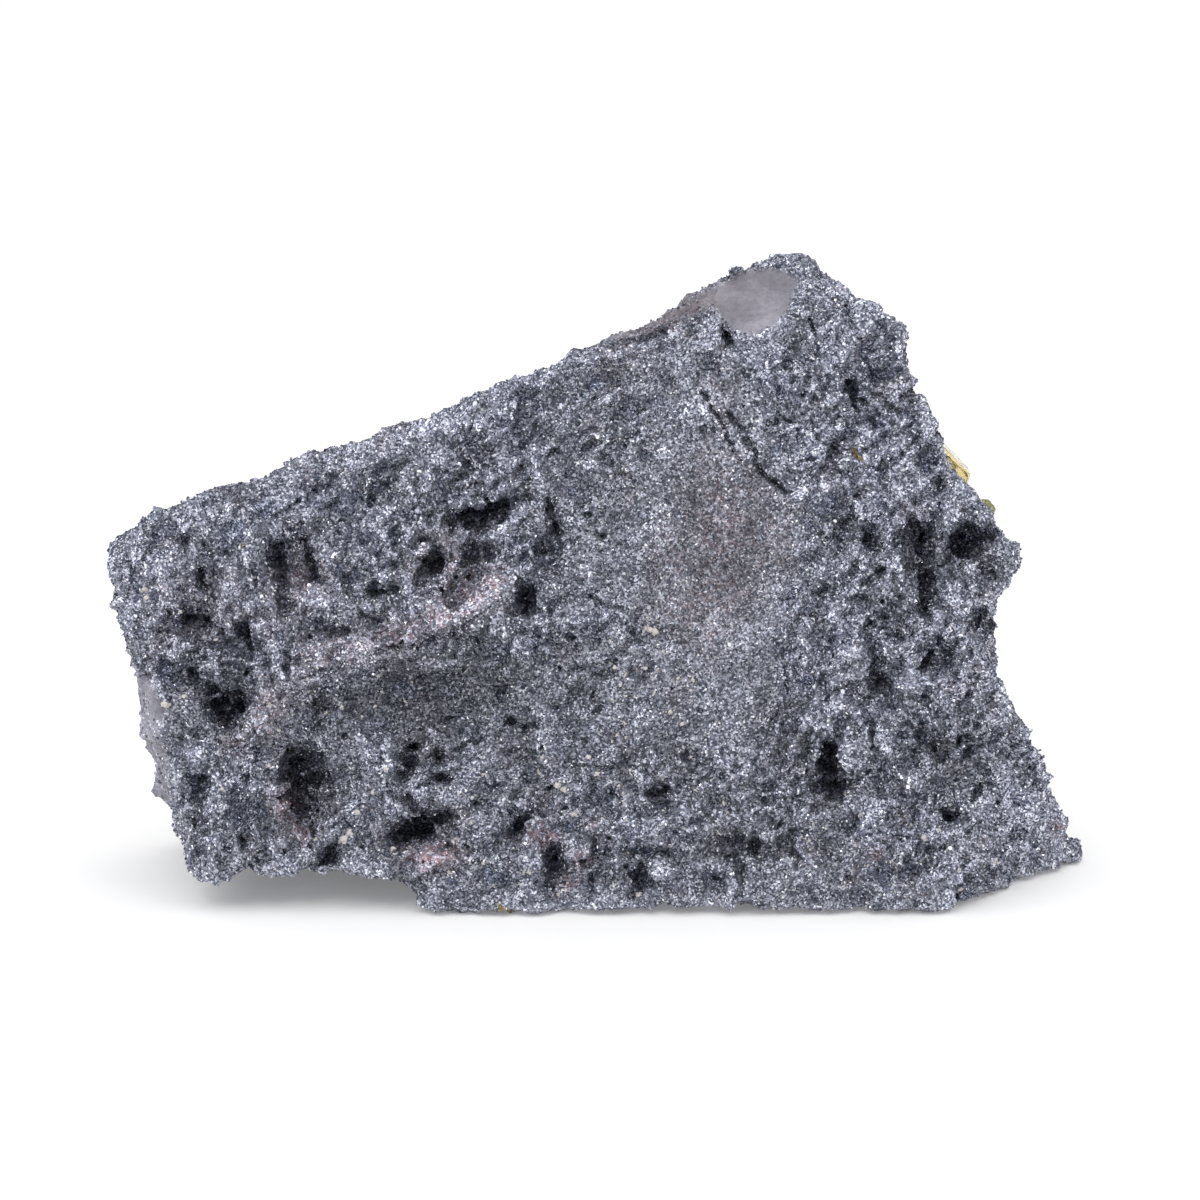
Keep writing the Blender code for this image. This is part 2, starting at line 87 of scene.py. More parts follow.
def facePlaces(points):
    # where each point, in mm, is seen on the front face
    start = np.array(eye)
    way = points - start
    faceStart = view["faceY"] + view["shift"][1] + view["faceLean"] * start[2] - start[1]
    reach = faceStart / (way[:, 1] - view["faceLean"] * way[:, 2])
    seen = start + way * reach[:, None]
    return seen[:, 0] - view["shift"][0], seen[:, 2]


def makeActive(piece):
    bpy.ops.object.select_all(action="DESELECT")
    piece.select_set(True)
    bpy.context.view_layer.objects.active = piece


def applyModifier(piece, kind, **settings):
    makeActive(piece)
    modifier = piece.modifiers.new(kind.lower(), kind)
    for name, value in settings.items():
        setattr(modifier, name, value)
    bpy.ops.object.modifier_apply(modifier=modifier.name)


def joinAll(pieces, name):
    makeActive(pieces[0])
    for piece in pieces:
        piece.select_set(True)
    bpy.ops.object.join()
    whole = bpy.context.object
    whole.name = name
    return whole


def copyNode(node, name):
    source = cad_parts[node]
    piece = bpy.data.objects.new(name, source.data.copy())
    bpy.context.scene.collection.objects.link(piece)
    piece.data.materials.clear()
    makeActive(piece)
    bpy.ops.object.mode_set(mode="EDIT")
    bpy.ops.mesh.select_all(action="SELECT")
    bpy.ops.mesh.remove_doubles(threshold=1e-6)
    bpy.ops.object.mode_set(mode="OBJECT")
    return piece


def readPoints(piece):
    points = np.empty(len(piece.data.vertices) * 3)
    piece.data.vertices.foreach_get("co", points)
    return points.reshape(-1, 3) / mm


def writePoints(piece, points):
    piece.data.vertices.foreach_set("co", (points * mm).ravel())
    piece.data.update()


def readNormals(piece):
    normals = np.empty(len(piece.data.vertices) * 3)
    piece.data.vertices.foreach_get("normal", normals)
    return normals.reshape(-1, 3)


def writeAttribute(piece, name, values):
    attribute = piece.data.attributes.new(name, "FLOAT", "POINT")
    attribute.data.foreach_set("value", np.ascontiguousarray(values, np.float32))


def blob(across, up, spot):
    # a soft oval on the face: 1 in its middle, 0 outside
    x, z, halfWidth, halfHeight, tilt = spot[:5]
    turn = math.radians(tilt)
    along = (across - x) * math.cos(turn) + (up - z) * math.sin(turn)
    over = (up - z) * math.cos(turn) - (across - x) * math.sin(turn)
    return np.exp(-((along / halfWidth) ** 2 + (over / halfHeight) ** 2))


def finish(name, colour, roughness, metallic):
    material = bpy.data.materials.new(name)
    material.use_nodes = True
    shader = material.node_tree.nodes["Principled BSDF"]
    shader.inputs["Base Color"].default_value = (*colour, 1.0)
    shader.inputs["Roughness"].default_value = roughness
    shader.inputs["Metallic"].default_value = metallic
    return material, material.node_tree, shader


def addNode(tree, kind, **settings):
    node = tree.nodes.new(kind)
    for name, value in settings.items():
        if name in node.inputs:
            node.inputs[name].default_value = value
        else:
            setattr(node, name, value)
    return node


# Camera, floor and lights
studio = dict(
    floorSize=8.0,
    floorColour=(0.80, 0.80, 0.80),
    floorGlow=0.15,     # the floor is lit a little from below, like a light table
    worldLight=(0.80, 0.80, 0.80),
    worldMirrored=(0.26, 0.27, 0.31),     # what shiny faces see of the room
    sky=dict(power=1.32, width=70.0, turned=(18.0, -8.0)),     # a wide soft light over everything, in degrees
    aim=(0.0, 0.0, 0.015),     # where the lamps point, in metres
    lamps={     # place, size and power in metres and watts
        "leftSide": ((-0.50, -0.18, 0.36), (0.20, 0.24), 0.30),
        "rightSide": ((0.50, -0.10, 0.28), (0.16, 0.22), 0.20),
        "frontSpark": ((-0.14, -0.42, 0.46), (0.08, 0.08), 0.20),
        "rightSpark": ((0.26, -0.34, 0.50), (0.08, 0.08), 0.18),
        "lowSpark": ((-0.32, -0.52, 0.22), (0.07, 0.07), 0.12),
    },
)


def buildStudio():
    camera = bpy.data.cameras.new("camera")
    camera.lens = view["lens"]
    camera.sensor_width = view["sensor"]
    camera.clip_start = 0.005
    holder = bpy.data.objects.new("camera", camera)
    holder.location = eye * mm
    holder.rotation_euler = (math.radians(90.0 - view["elevation"]), 0.0, 0.0)
    bpy.context.scene.collection.objects.link(holder)
    bpy.context.scene.camera = holder
    bpy.context.scene.view_settings.view_transform = "Standard"

    bpy.ops.object.select_all(action="DESELECT")
    bpy.ops.mesh.primitive_plane_add(size=studio["floorSize"], location=(0, 0, 0))
    floor = bpy.context.object
    floor.name = "floor"
    material, tree, shader = finish("paleFloor", studio["floorColour"], 0.7, 0.0)
    shader.inputs["Emission Color"].default_value = (1.0, 1.0, 1.0, 1.0)
    shader.inputs["Emission Strength"].default_value = studio["floorGlow"]
    floor.data.materials.append(material)

    world = bpy.data.worlds.new("studioWorld")
    bpy.context.scene.world = world
    world.use_nodes = True
    tree = world.node_tree
    background = tree.nodes["Background"]
    background.inputs["Color"].default_value = (*studio["worldLight"], 1.0)
    mirrored = addNode(tree, "ShaderNodeBackground", Color=(*studio["worldMirrored"], 1.0), Strength=1.0)
    path = addNode(tree, "ShaderNodeLightPath")
    mix = addNode(tree, "ShaderNodeMixShader")
    tree.links.new(path.outputs["Is Glossy Ray"], mix.inputs["Fac"])
    tree.links.new(background.outputs[0], mix.inputs[1])
    tree.links.new(mirrored.outputs[0], mix.inputs[2])
    tree.links.new(mix.outputs[0], tree.nodes["World Output"].inputs["Surface"])

    sky = bpy.data.lights.new("sky", "SUN")
    sky.energy = studio["sky"]["power"]
    sky.angle = math.radians(studio["sky"]["width"])
    holder = bpy.data.objects.new("sky", sky)
    holder.rotation_euler = [math.radians(turn) for turn in (*studio["sky"]["turned"], 0.0)]
    bpy.context.scene.collection.objects.link(holder)

    for name, (place, size, power) in studio["lamps"].items():
        lamp = bpy.data.lights.new(name, "AREA")
        lamp.shape = "RECTANGLE"
        lamp.size, lamp.size_y = size
        lamp.energy = power
        holder = bpy.data.objects.new(name, lamp)
        holder.location = place
        aim = Vector(studio["aim"]) - Vector(place)
        holder.rotation_euler = aim.to_track_quat("-Z", "Y").to_euler()
        bpy.context.scene.collection.objects.link(holder)


buildStudio()
print("studio ready")

# The stone's skin, all in mm: each kind of unevenness has a size, and a lift that it adds
stone = dict(
    voxel=0.19,
    keepTriangles=190000,
    smoothRounds=2,
    broadSize=2.6,
    broadLift=0.35,
    fineSize=0.9,
    fineLift=0.17,
    wallSize=1.1,
    wallLift=0.22,
    foldSize=1.5,
    foldLift=0.22,
    driftSize=2.2,
    grainSize=0.33,
    grainLift=0.06,
    sideDrop=0.26,      # how far the sides stand back, to leave room for the grains
    footHeight=0.45,
    footDepth=0.9,
    seed=11,
)

# Hollows cut into the skin: half width, depth, and the places across and up that they run through
hollows = [
    (.30, 1.6, [(-23.7, 20.5), (-23.6, 19.9)]), (.18, .9, [(-22.9, 20.8), (-23.0, 18.9)]),
    (.42, .6, [(-24.7, 22.4), (-24.6, 21.4)]), (.33, .8, [(-22.6, 22.6), (-22.3, 21.7)]),
    (.52, 1.7, [(-25.6, 17.5), (-24.4, 17.9), (-23.6, 17.7), (-23.0, 17.2)]),
    (.40, 1.0, [(-25.0, 16.8), (-23.2, 16.2), (-21.4, 16.0)]), (.33, 1.4, [(-21.2, 17.4), (-20.8, 16.2)]),
    (.55, 1.2, [(-24.9, 14.5), (-23.7, 13.9), (-23.2, 13.3)]), (.28, 1.2, [(-21.0, 14.5)]),
    (.60, 3.0, [(-22.8, 12.3), (-22.1, 12.6), (-21.5, 12.5), (-22.0, 11.8)]), (.28, .8, [(-20.0, 24.2)]),
    (.18, .9, [(-19.6, 23.5), (-18.6, 24.2), (-17.8, 24.7)]), (.22, .8, [(-18.5, 23.0), (-17.7, 23.5)]),
    (.40, 2.2, [(-19.0, 22.2), (-19.2, 21.0), (-18.8, 20.0), (-18.9, 19.0), (-18.8, 18.2)]),
    (.26, 1.5, [(-17.9, 22.8), (-17.3, 22.0), (-17.0, 21.0), (-16.9, 20.0)]),
    (.22, .9, [(-15.0, 20.3), (-14.9, 19.5)]), (.20, .8, [(-13.9, 21.6), (-13.7, 20.8)]),
    (.30, 1.6, [(-13.5, 19.6), (-13.0, 19.3), (-12.2, 19.6)]), (.24, 1.0, [(-14.2, 18.0), (-13.5, 17.7)]),
    (.38, 1.2, [(-16.8, 17.5), (-16.2, 17.2), (-15.2, 16.9)]), (.26, 1.0, [(-17.5, 16.6)]),
    (.12, .6, [(-19.1, 15.6), (-18.9, 15.1)]), (.32, .7, [(-16.3, 25.6)]), (.2, .6, [(-27.1, 23.4)]),
    (.38, .9, [(-24.2, 10.9)]), (.24, .7, [(-22.6, 10.4)]), (.20, .6, [(-25.2, 10.7)]),
    (.20, .5, [(-21.0, 9.2), (-20.3, 9.2)]), (.62, 1.0, [(-24.2, 8.3), (-23.9, 7.5)]),
    (.2, .7, [(-24.0, 6.8)]), (.85, 2.6, [(-18.0, 9.3), (-17.4, 8.6), (-17.0, 7.9)]),
    (.55, 2.0, [(-18.2, 7.9), (-17.9, 7.0), (-17.9, 6.2)]), (.35, 1.4, [(-18.6, 10.0)]),
    (.28, .8, [(-17.3, 11.1), (-16.6, 11.3)]), (.32, .8, [(-15.3, 10.7)]),
    (.17, 1.1, [(-17.2, 5.5), (-17.2, 4.8)]), (.28, 1.5, [(-16.1, 4.3), (-16.0, 3.5), (-16.8, 3.1)]),
    (.28, 1.1, [(-21.6, 4.7), (-21.2, 4.2)]), (.15, .6, [(-20.2, 5.1), (-19.6, 5.0)]),
    (.2, .5, [(-14.2, 4.1)]), (.16, .5, [(-12.7, 3.5), (-12.2, 3.5)]), (.24, .6, [(-13.7, 7.9)]),
    (.16, .6, [(-12.8, 7.8), (-12.2, 7.8)]),
    (.36, 1.7, [(-10.9, 10.2), (-11.5, 9.7), (-11.3, 9.0), (-11.7, 8.4)]), (.32, 1.2, [(-9.6, 9.4)]),
    (.33, 1.3, [(-9.7, 8.3), (-9.1, 8.2)]), (.26, 1.2, [(-11.5, 7.2), (-11.1, 6.5)]),
    (.50, 2.4, [(-11.8, 5.1), (-11.1, 5.1), (-10.3, 5.4)]), (.32, 1.6, [(-9.8, 5.7), (-9.1, 6.1)]),
    (.22, .8, [(-9.3, 11.6), (-8.9, 11.7)]), (.25, .9, [(-8.2, 27.3), (-7.8, 26.7)]),
    (.30, .5, [(-4.9, 27.8), (-4.2, 28.4), (-3.6, 28.7)]),
    (.14, .5, [(-2.6, 28.2), (-1.5, 28.7), (-0.3, 29.0)]), (.22, .6, [(-1.0, 27.7), (-0.4, 27.9)]),
    (.2, .4, [(-0.7, 30.2)]), (.22, .5, [(2.6, 27.4), (3.0, 27.4)]), (.24, .5, [(1.3, 26.4)]),
    (.24, .7, [(-4.6, 26.6), (-4.6, 26.2)]), (.24, .6, [(-2.0, 26.3)]),
    (.15, .9, [(-4.3, 25.4), (-4.1, 24.6)]),
    (.50, 2.0, [(-8.7, 23.9), (-7.6, 23.9), (-6.8, 24.1), (-6.0, 24.4)]), (.42, 1.6, [(-7.2, 23.3)]),
    (.22, .7, [(-11.0, 24.7)]), (.22, .7, [(-10.6, 22.4)]), (.42, 2.2, [(-9.9, 20.9), (-9.4, 21.3)]),
    (.2, .8, [(-10.8, 20.8)]), (.26, 1.4, [(-8.5, 20.1)]),
    (.48, 1.7, [(-7.8, 21.2), (-7.3, 21.7), (-6.8, 21.8)]), (.22, .6, [(-5.7, 22.5)]),
    (.14, .7, [(-5.5, 21.5), (-5.6, 20.7)]), (.32, .9, [(-4.5, 21.4)]),
    (.52, 1.1, [(-3.3, 21.8), (-3.1, 20.8)]), (.38, 1.6, [(-3.0, 24.1), (-2.8, 23.2)]),
    (.2, .8, [(-1.0, 23.8), (-0.5, 23.9)]), (.2, 1.0, [(-0.05, 22.7), (0.25, 22.7)]),
    (.2, .5, [(-0.5, 21.6)]), (.38, 1.6, [(-4.4, 19.6), (-4.5, 18.8), (-4.0, 18.3)]),
    (.28, 1.1, [(-4.9, 18.0)]), (.26, 1.0, [(-4.6, 16.9)]), (.28, .9, [(-3.7, 16.8)]),
    (.30, .9, [(-1.8, 16.5)]), (.15, .5, [(1.6, 17.5)]), (.26, .9, [(2.0, 16.9)]), (.2, .6, [(2.6, 17.8)]),
    (.28, .9, [(-6.0, 13.6), (-5.9, 12.9)]), (.2, .8, [(-4.6, 13.7)]),
    (.22, 1.1, [(-5.5, 11.6), (-5.1, 11.6)]), (.24, .9, [(-4.5, 11.2), (-3.9, 11.4)]),
    (.2, 1.1, [(-0.35, 12.1), (0.1, 12.5)]), (.28, .6, [(-1.5, 10.8), (-0.8, 10.5)]),
    (.2, .6, [(4.4, 13.6)]), (.18, .5, [(6.8, 13.1)]), (.2, .5, [(6.0, 12.3)]), (.2, .5, [(2.9, 15.5)]),
    (.25, .7, [(2.8, 8.6)]), (.34, 1.5, [(3.8, 7.7), (3.4, 7.3)]), (.2, 1.3, [(4.1, 6.6), (3.8, 5.9)]),
    (.22, 1.1, [(6.8, 7.1), (6.9, 6.6)]), (.2, .6, [(9.3, 6.1)]), (.24, .8, [(1.3, 8.5)]),
    (.28, 1.1, [(0.6, 7.3), (0.4, 6.9)]), (.15, .5, [(-1.0, 8.0)]),
    (.18, 1.0, [(-2.1, 6.5), (-1.1, 6.8), (0.0, 6.6)]), (.33, 1.7, [(-5.2, 5.0), (-4.6, 5.6), (-4.1, 6.4)]),
    (.28, .7, [(-5.3, 7.0), (-4.8, 7.3)]), (.14, .5, [(-7.2, 6.4), (-6.7, 6.0)]),
    (.42, 1.7, [(-3.0, 3.9), (-2.6, 3.2), (-3.0, 2.3), (-2.9, 1.8)]), (.30, 1.2, [(-0.6, 2.1), (0.0, 2.7)]),
    (.28, .9, [(-0.5, 1.4)]), (.26, .9, [(2.0, 3.9), (3.1, 3.8), (4.2, 3.6)]),
    (.50, 1.0, [(2.3, 2.6), (2.5, 1.8)]), (.2, .9, [(6.7, 2.4), (7.3, 2.1)]),
    (.22, .8, [(8.6, 2.6), (8.6, 1.9)]), (.55, .8, [(7.2, 4.7), (8.9, 4.4)]),
    (.14, .5, [(10.2, 12.4), (10.3, 11.2)]), (.36, .9, [(14.2, 23.3)]),
    (.2, .7, [(12.8, 21.3), (13.2, 21.3)]), (.22, .5, [(12.3, 22.5)]),
    (.38, 1.5, [(15.9, 22.8), (16.1, 21.9)]), (.28, 1.1, [(15.9, 20.0), (16.8, 20.6)]),
    (.27, 1.2, [(13.3, 19.5), (13.1, 18.8)]), (.2, .7, [(14.8, 18.8), (15.8, 19.2)]),
    (.18, .6, [(14.8, 18.2)]), (.48, 2.3, [(19.0, 23.1), (19.2, 22.2), (19.3, 21.5)]),
    (.32, 1.1, [(19.8, 23.8)]), (.36, 1.6, [(18.9, 20.9), (19.2, 20.0), (19.3, 19.0), (19.3, 18.1)]),
    (.62, 2.0, [(21.0, 22.6), (21.9, 22.6), (22.7, 22.6)]), (.45, 2.2, [(20.8, 21.9), (21.6, 21.8)]),
    (.17, .9, [(21.3, 24.1), (22.1, 24.3)]), (.26, .9, [(23.3, 20.5)]),
    (.42, 1.3, [(22.5, 18.0), (22.5, 17.3)]),
    (.34, 1.1, [(15.9, 17.3), (16.1, 16.0), (16.3, 15.0), (16.7, 14.0), (17.2, 13.2), (17.4, 12.6)]),
    (.33, 1.4, [(17.6, 17.0), (17.6, 16.6)]), (.2, .7, [(16.4, 18.1), (17.0, 17.9)]),
    (.14, .7, [(18.1, 17.5), (18.6, 18.1)]), (.26, 1.5, [(19.2, 15.0), (19.8, 15.9)]),
    (.18, .9, [(19.7, 13.8), (20.6, 15.0), (21.4, 16.5)]), (.2, .9, [(21.3, 12.8), (21.4, 12.3)]),
    (.1, .5, [(21.8, 13.7), (22.3, 13.9)]), (.17, .8, [(21.9, 11.5), (21.3, 11.0), (21.5, 10.3)]),
    (.2, .6, [(18.0, 11.4), (18.4, 11.4)]), (.40, .9, [(19.1, 10.7), (19.6, 10.8)]),
    (.2, 1.2, [(16.3, 10.8), (16.3, 10.1)]), (.18, .5, [(14.4, 11.6), (14.0, 11.0)]),
    (.16, .5, [(22.6, 12.8), (22.7, 12.1)]), (.50, 2.6, [(13.6, 9.9), (13.5, 9.2), (13.8, 8.5)]),
    (.50, 3.0, [(13.2, 7.8), (14.0, 7.7)]), (.2, .7, [(17.4, 9.1)]), (.2, .5, [(17.8, 7.4)]),
    (.24, .8, [(12.0, 6.6)]), (.15, .6, [(11.3, 5.1), (12.6, 5.2)]), (.26, .6, [(11.7, 4.3)]),
    (.17, .7, [(16.2, 5.2)]), (.13, .6, [(17.7, 4.8), (18.1, 4.8)]), (.15, .5, [(15.2, 6.0)]),
    (.38, 1.6, [(20.8, 5.8), (21.2, 6.0)]), (.26, .8, [(19.6, 3.0), (19.9, 3.0)]), (.2, .7, [(22.1, 2.5)]),
    (.2, .7, [(14.8, 2.5), (14.8, 2.1)]), (.40, .8, [(22.4, 7.5), (21.9, 7.2)]), (.24, .8, [(24.9, 6.9)]),
    (.15, .5, [(22.4, 6.0)]), (.2, .6, [(24.0, 3.8)]), (.22, .7, [(25.1, 2.0)]),
    (.15, .6, [(25.4, 9.5), (25.9, 9.5)]), (.2, .8, [(27.1, 5.3)]),
    (.24, 1.6, [(7.25, 35.0), (7.4, 34.6), (7.7, 34.0)]),
    (.15, 1.3, [(12.4, 35.4), (12.7, 34.6), (12.9, 33.6)]),
    (.1, .5, [(12.9, 34.2), (13.6, 33.8), (14.1, 33.8)]),
    (.14, .8, [(14.5, 36.2), (14.8, 35.2), (15.3, 34.4), (15.4, 33.9)]),
    (.14, .6, [(15.6, 33.4), (16.3, 33.6)]), (.42, 1.7, [(16.2, 32.3), (16.8, 32.2), (17.4, 32.3)]),
    (.2, .9, [(16.5, 32.8)]), (.34, 1.7, [(14.6, 31.8), (14.8, 31.3), (14.9, 30.7)]),
    (.15, .8, [(15.1, 31.5), (15.7, 31.7)]),
    (.15, .7, [(16.6, 31.0), (16.9, 30.6), (17.3, 30.3), (17.8, 29.9)]), (.2, .6, [(17.6, 31.2)]),
    (.23, .9, [(15.9, 29.5), (16.5, 29.1), (16.9, 28.9)]), (.14, .6, [(18.2, 29.0), (18.8, 29.5)]),
    (.26, 1.2, [(16.3, 28.0), (16.8, 28.5)]), (.26, 1.1, [(15.7, 27.7)]),
    (.28, 2.0, [(13.9, 27.9), (13.9, 27.1)]), (.16, .7, [(13.2, 26.6), (13.9, 26.6)]),
    (.40, .6, [(13.1, 30.0), (12.8, 29.2)]), (.2, 1.0, [(13.5, 30.1)]),
    (.15, .9, [(13.1, 31.7), (12.9, 31.4)]), (.14, .6, [(13.6, 32.2), (13.3, 31.2), (13.1, 30.6)]),
    (.14, .7, [(12.0, 31.0), (12.4, 31.1)]), (.14, .7, [(11.2, 31.9), (11.9, 32.1), (12.2, 32.3)]),
    (.18, .9, [(10.5, 31.4), (10.8, 30.6), (10.9, 30.3)]),
    (.15, 1.0, [(10.5, 29.7), (11.1, 29.4), (11.6, 29.2), (11.8, 28.7)]),
    (.25, .6, [(9.5, 32.3), (9.7, 31.7)]), (.22, .8, [(7.5, 30.0), (8.0, 29.3), (8.7, 28.8)]),
    (.2, .6, [(8.6, 30.3)]), (.15, .9, [(7.5, 28.5), (7.8, 28.1)]), (.24, .6, [(8.3, 27.1), (8.6, 26.9)]),
    (.28, .5, [(6.2, 28.9), (6.9, 28.8)]), (.15, 1.0, [(15.0, 24.9), (15.4, 25.2)]),
    (.50, .7, [(19.3, 27.4), (19.2, 26.7)]), (.24, 1.2, [(20.2, 26.0), (20.1, 25.3)]),
]

# Lines only pressed in: half width, depth, places
grooves = [
    (.10, .35, [(-27.2, 15.2), (-25.9, 15.4), (-25.0, 15.3), (-23.3, 15.3), (-22.0, 15.0)]),
    (.16, .45, [(-18.5, 13.6), (-16.4, 15.1), (-13.8, 15.9), (-11.0, 16.2), (-9.6, 16.5)]),
    (.14, .4, [(-17.6, 12.9), (-15.2, 14.2), (-12.4, 15.1), (-9.4, 15.5), (-7.4, 15.9)]),
    (.14, .4, [(-17.2, 11.9), (-14.6, 13.2), (-11.6, 14.1), (-8.6, 14.4)]),
    (.13, .3, [(-15.4, 11.6), (-13.0, 12.6), (-10.4, 13.3), (-7.8, 13.3)]),
    (.16, .3, [(-7.0, 8.4), (-5.5, 9.1), (-3.5, 9.5), (-1.0, 9.2), (1.0, 8.9)]),
    (.14, .25, [(-6.5, 7.4), (-5.5, 8.1), (-4.0, 8.6), (-2.4, 8.8)]),
    (.14, .25, [(-8.0, 9.0), (-6.2, 9.9), (-4.4, 10.2), (-2.4, 10.1)]),
    (.12, .3, [(-2.3, 19.0), (-1.6, 19.3), (-0.8, 19.1), (0.5, 18.4), (1.5, 18.4)]),
    (.13, .65, [(8.9, 28.2), (9.3, 27.4), (9.7, 26.6), (9.9, 26.2), (10.4, 25.8), (10.9, 25.3),
      (11.4, 25.0)]), (.10, .3, [(5.3, 5.4), (6.2, 5.7)]),
    (.13, .5, [(6.2, 31.0), (6.8, 30.0), (7.2, 29.4), (7.8, 28.1), (8.2, 27.6)]),
    (.12, .25, [(5.9, 33.3), (7.0, 33.5)]), (.12, .25, [(5.9, 32.7), (7.0, 32.9)]),
    (.12, .25, [(6.0, 32.1), (7.1, 32.3)]), (.12, .35, [(15.9, 26.9), (16.5, 26.3), (16.9, 25.9)]),
    (.30, .55, [(-0.9, 33.7), (1.5, 34.0), (3.2, 34.5), (5.0, 35.3), (7.0, 35.7)]),
    (.12, .3, [(14.0, 19.5), (15.2, 20.7)]), (.12, .25, [(12.4, 12.4), (13.4, 13.6)]),
    (.12, .25, [(11.6, 11.6), (12.8, 13.0)]), (.14, .3, [(12.9, 12.0), (12.0, 10.4), (11.8, 8.4)]),
    (.14, .3, [(11.2, 12.0), (10.9, 10.0), (11.0, 8.0)]),
    (.6, .35, [(-14.5, 12.8), (-12.0, 13.4), (-9.5, 13.9), (-7.4, 14.8), (-6.4, 15.2)]),
    (.8, .45, [(19.4, 10.6), (20.6, 9.4), (22.0, 8.2)]), (.9, .35, [(11.6, 4.4), (13.6, 4.6)]),
    (.8, .4, [(7.2, 4.4), (9.4, 4.3)]), (.7, .35, [(12.7, 30.4), (12.7, 28.6)]),
    (.7, .35, [(-3.2, 21.6), (-3.0, 23.6)]), (.9, .45, [(-17.7, 9.2), (-17.6, 7.0)]),
    (.8, .3, [(-24.6, 16.9), (-22.0, 16.2)]), (.8, .35, [(21.4, 22.4), (22.6, 22.2)]),
    (.6, .3, [(-24.7, 22.6), (-24.5, 21.0)]), (.6, .3, [(14.9, 32.8), (15.1, 31.2)]),
    (.8, .3, [(-11.0, 9.6), (-9.2, 9.0)]),
]

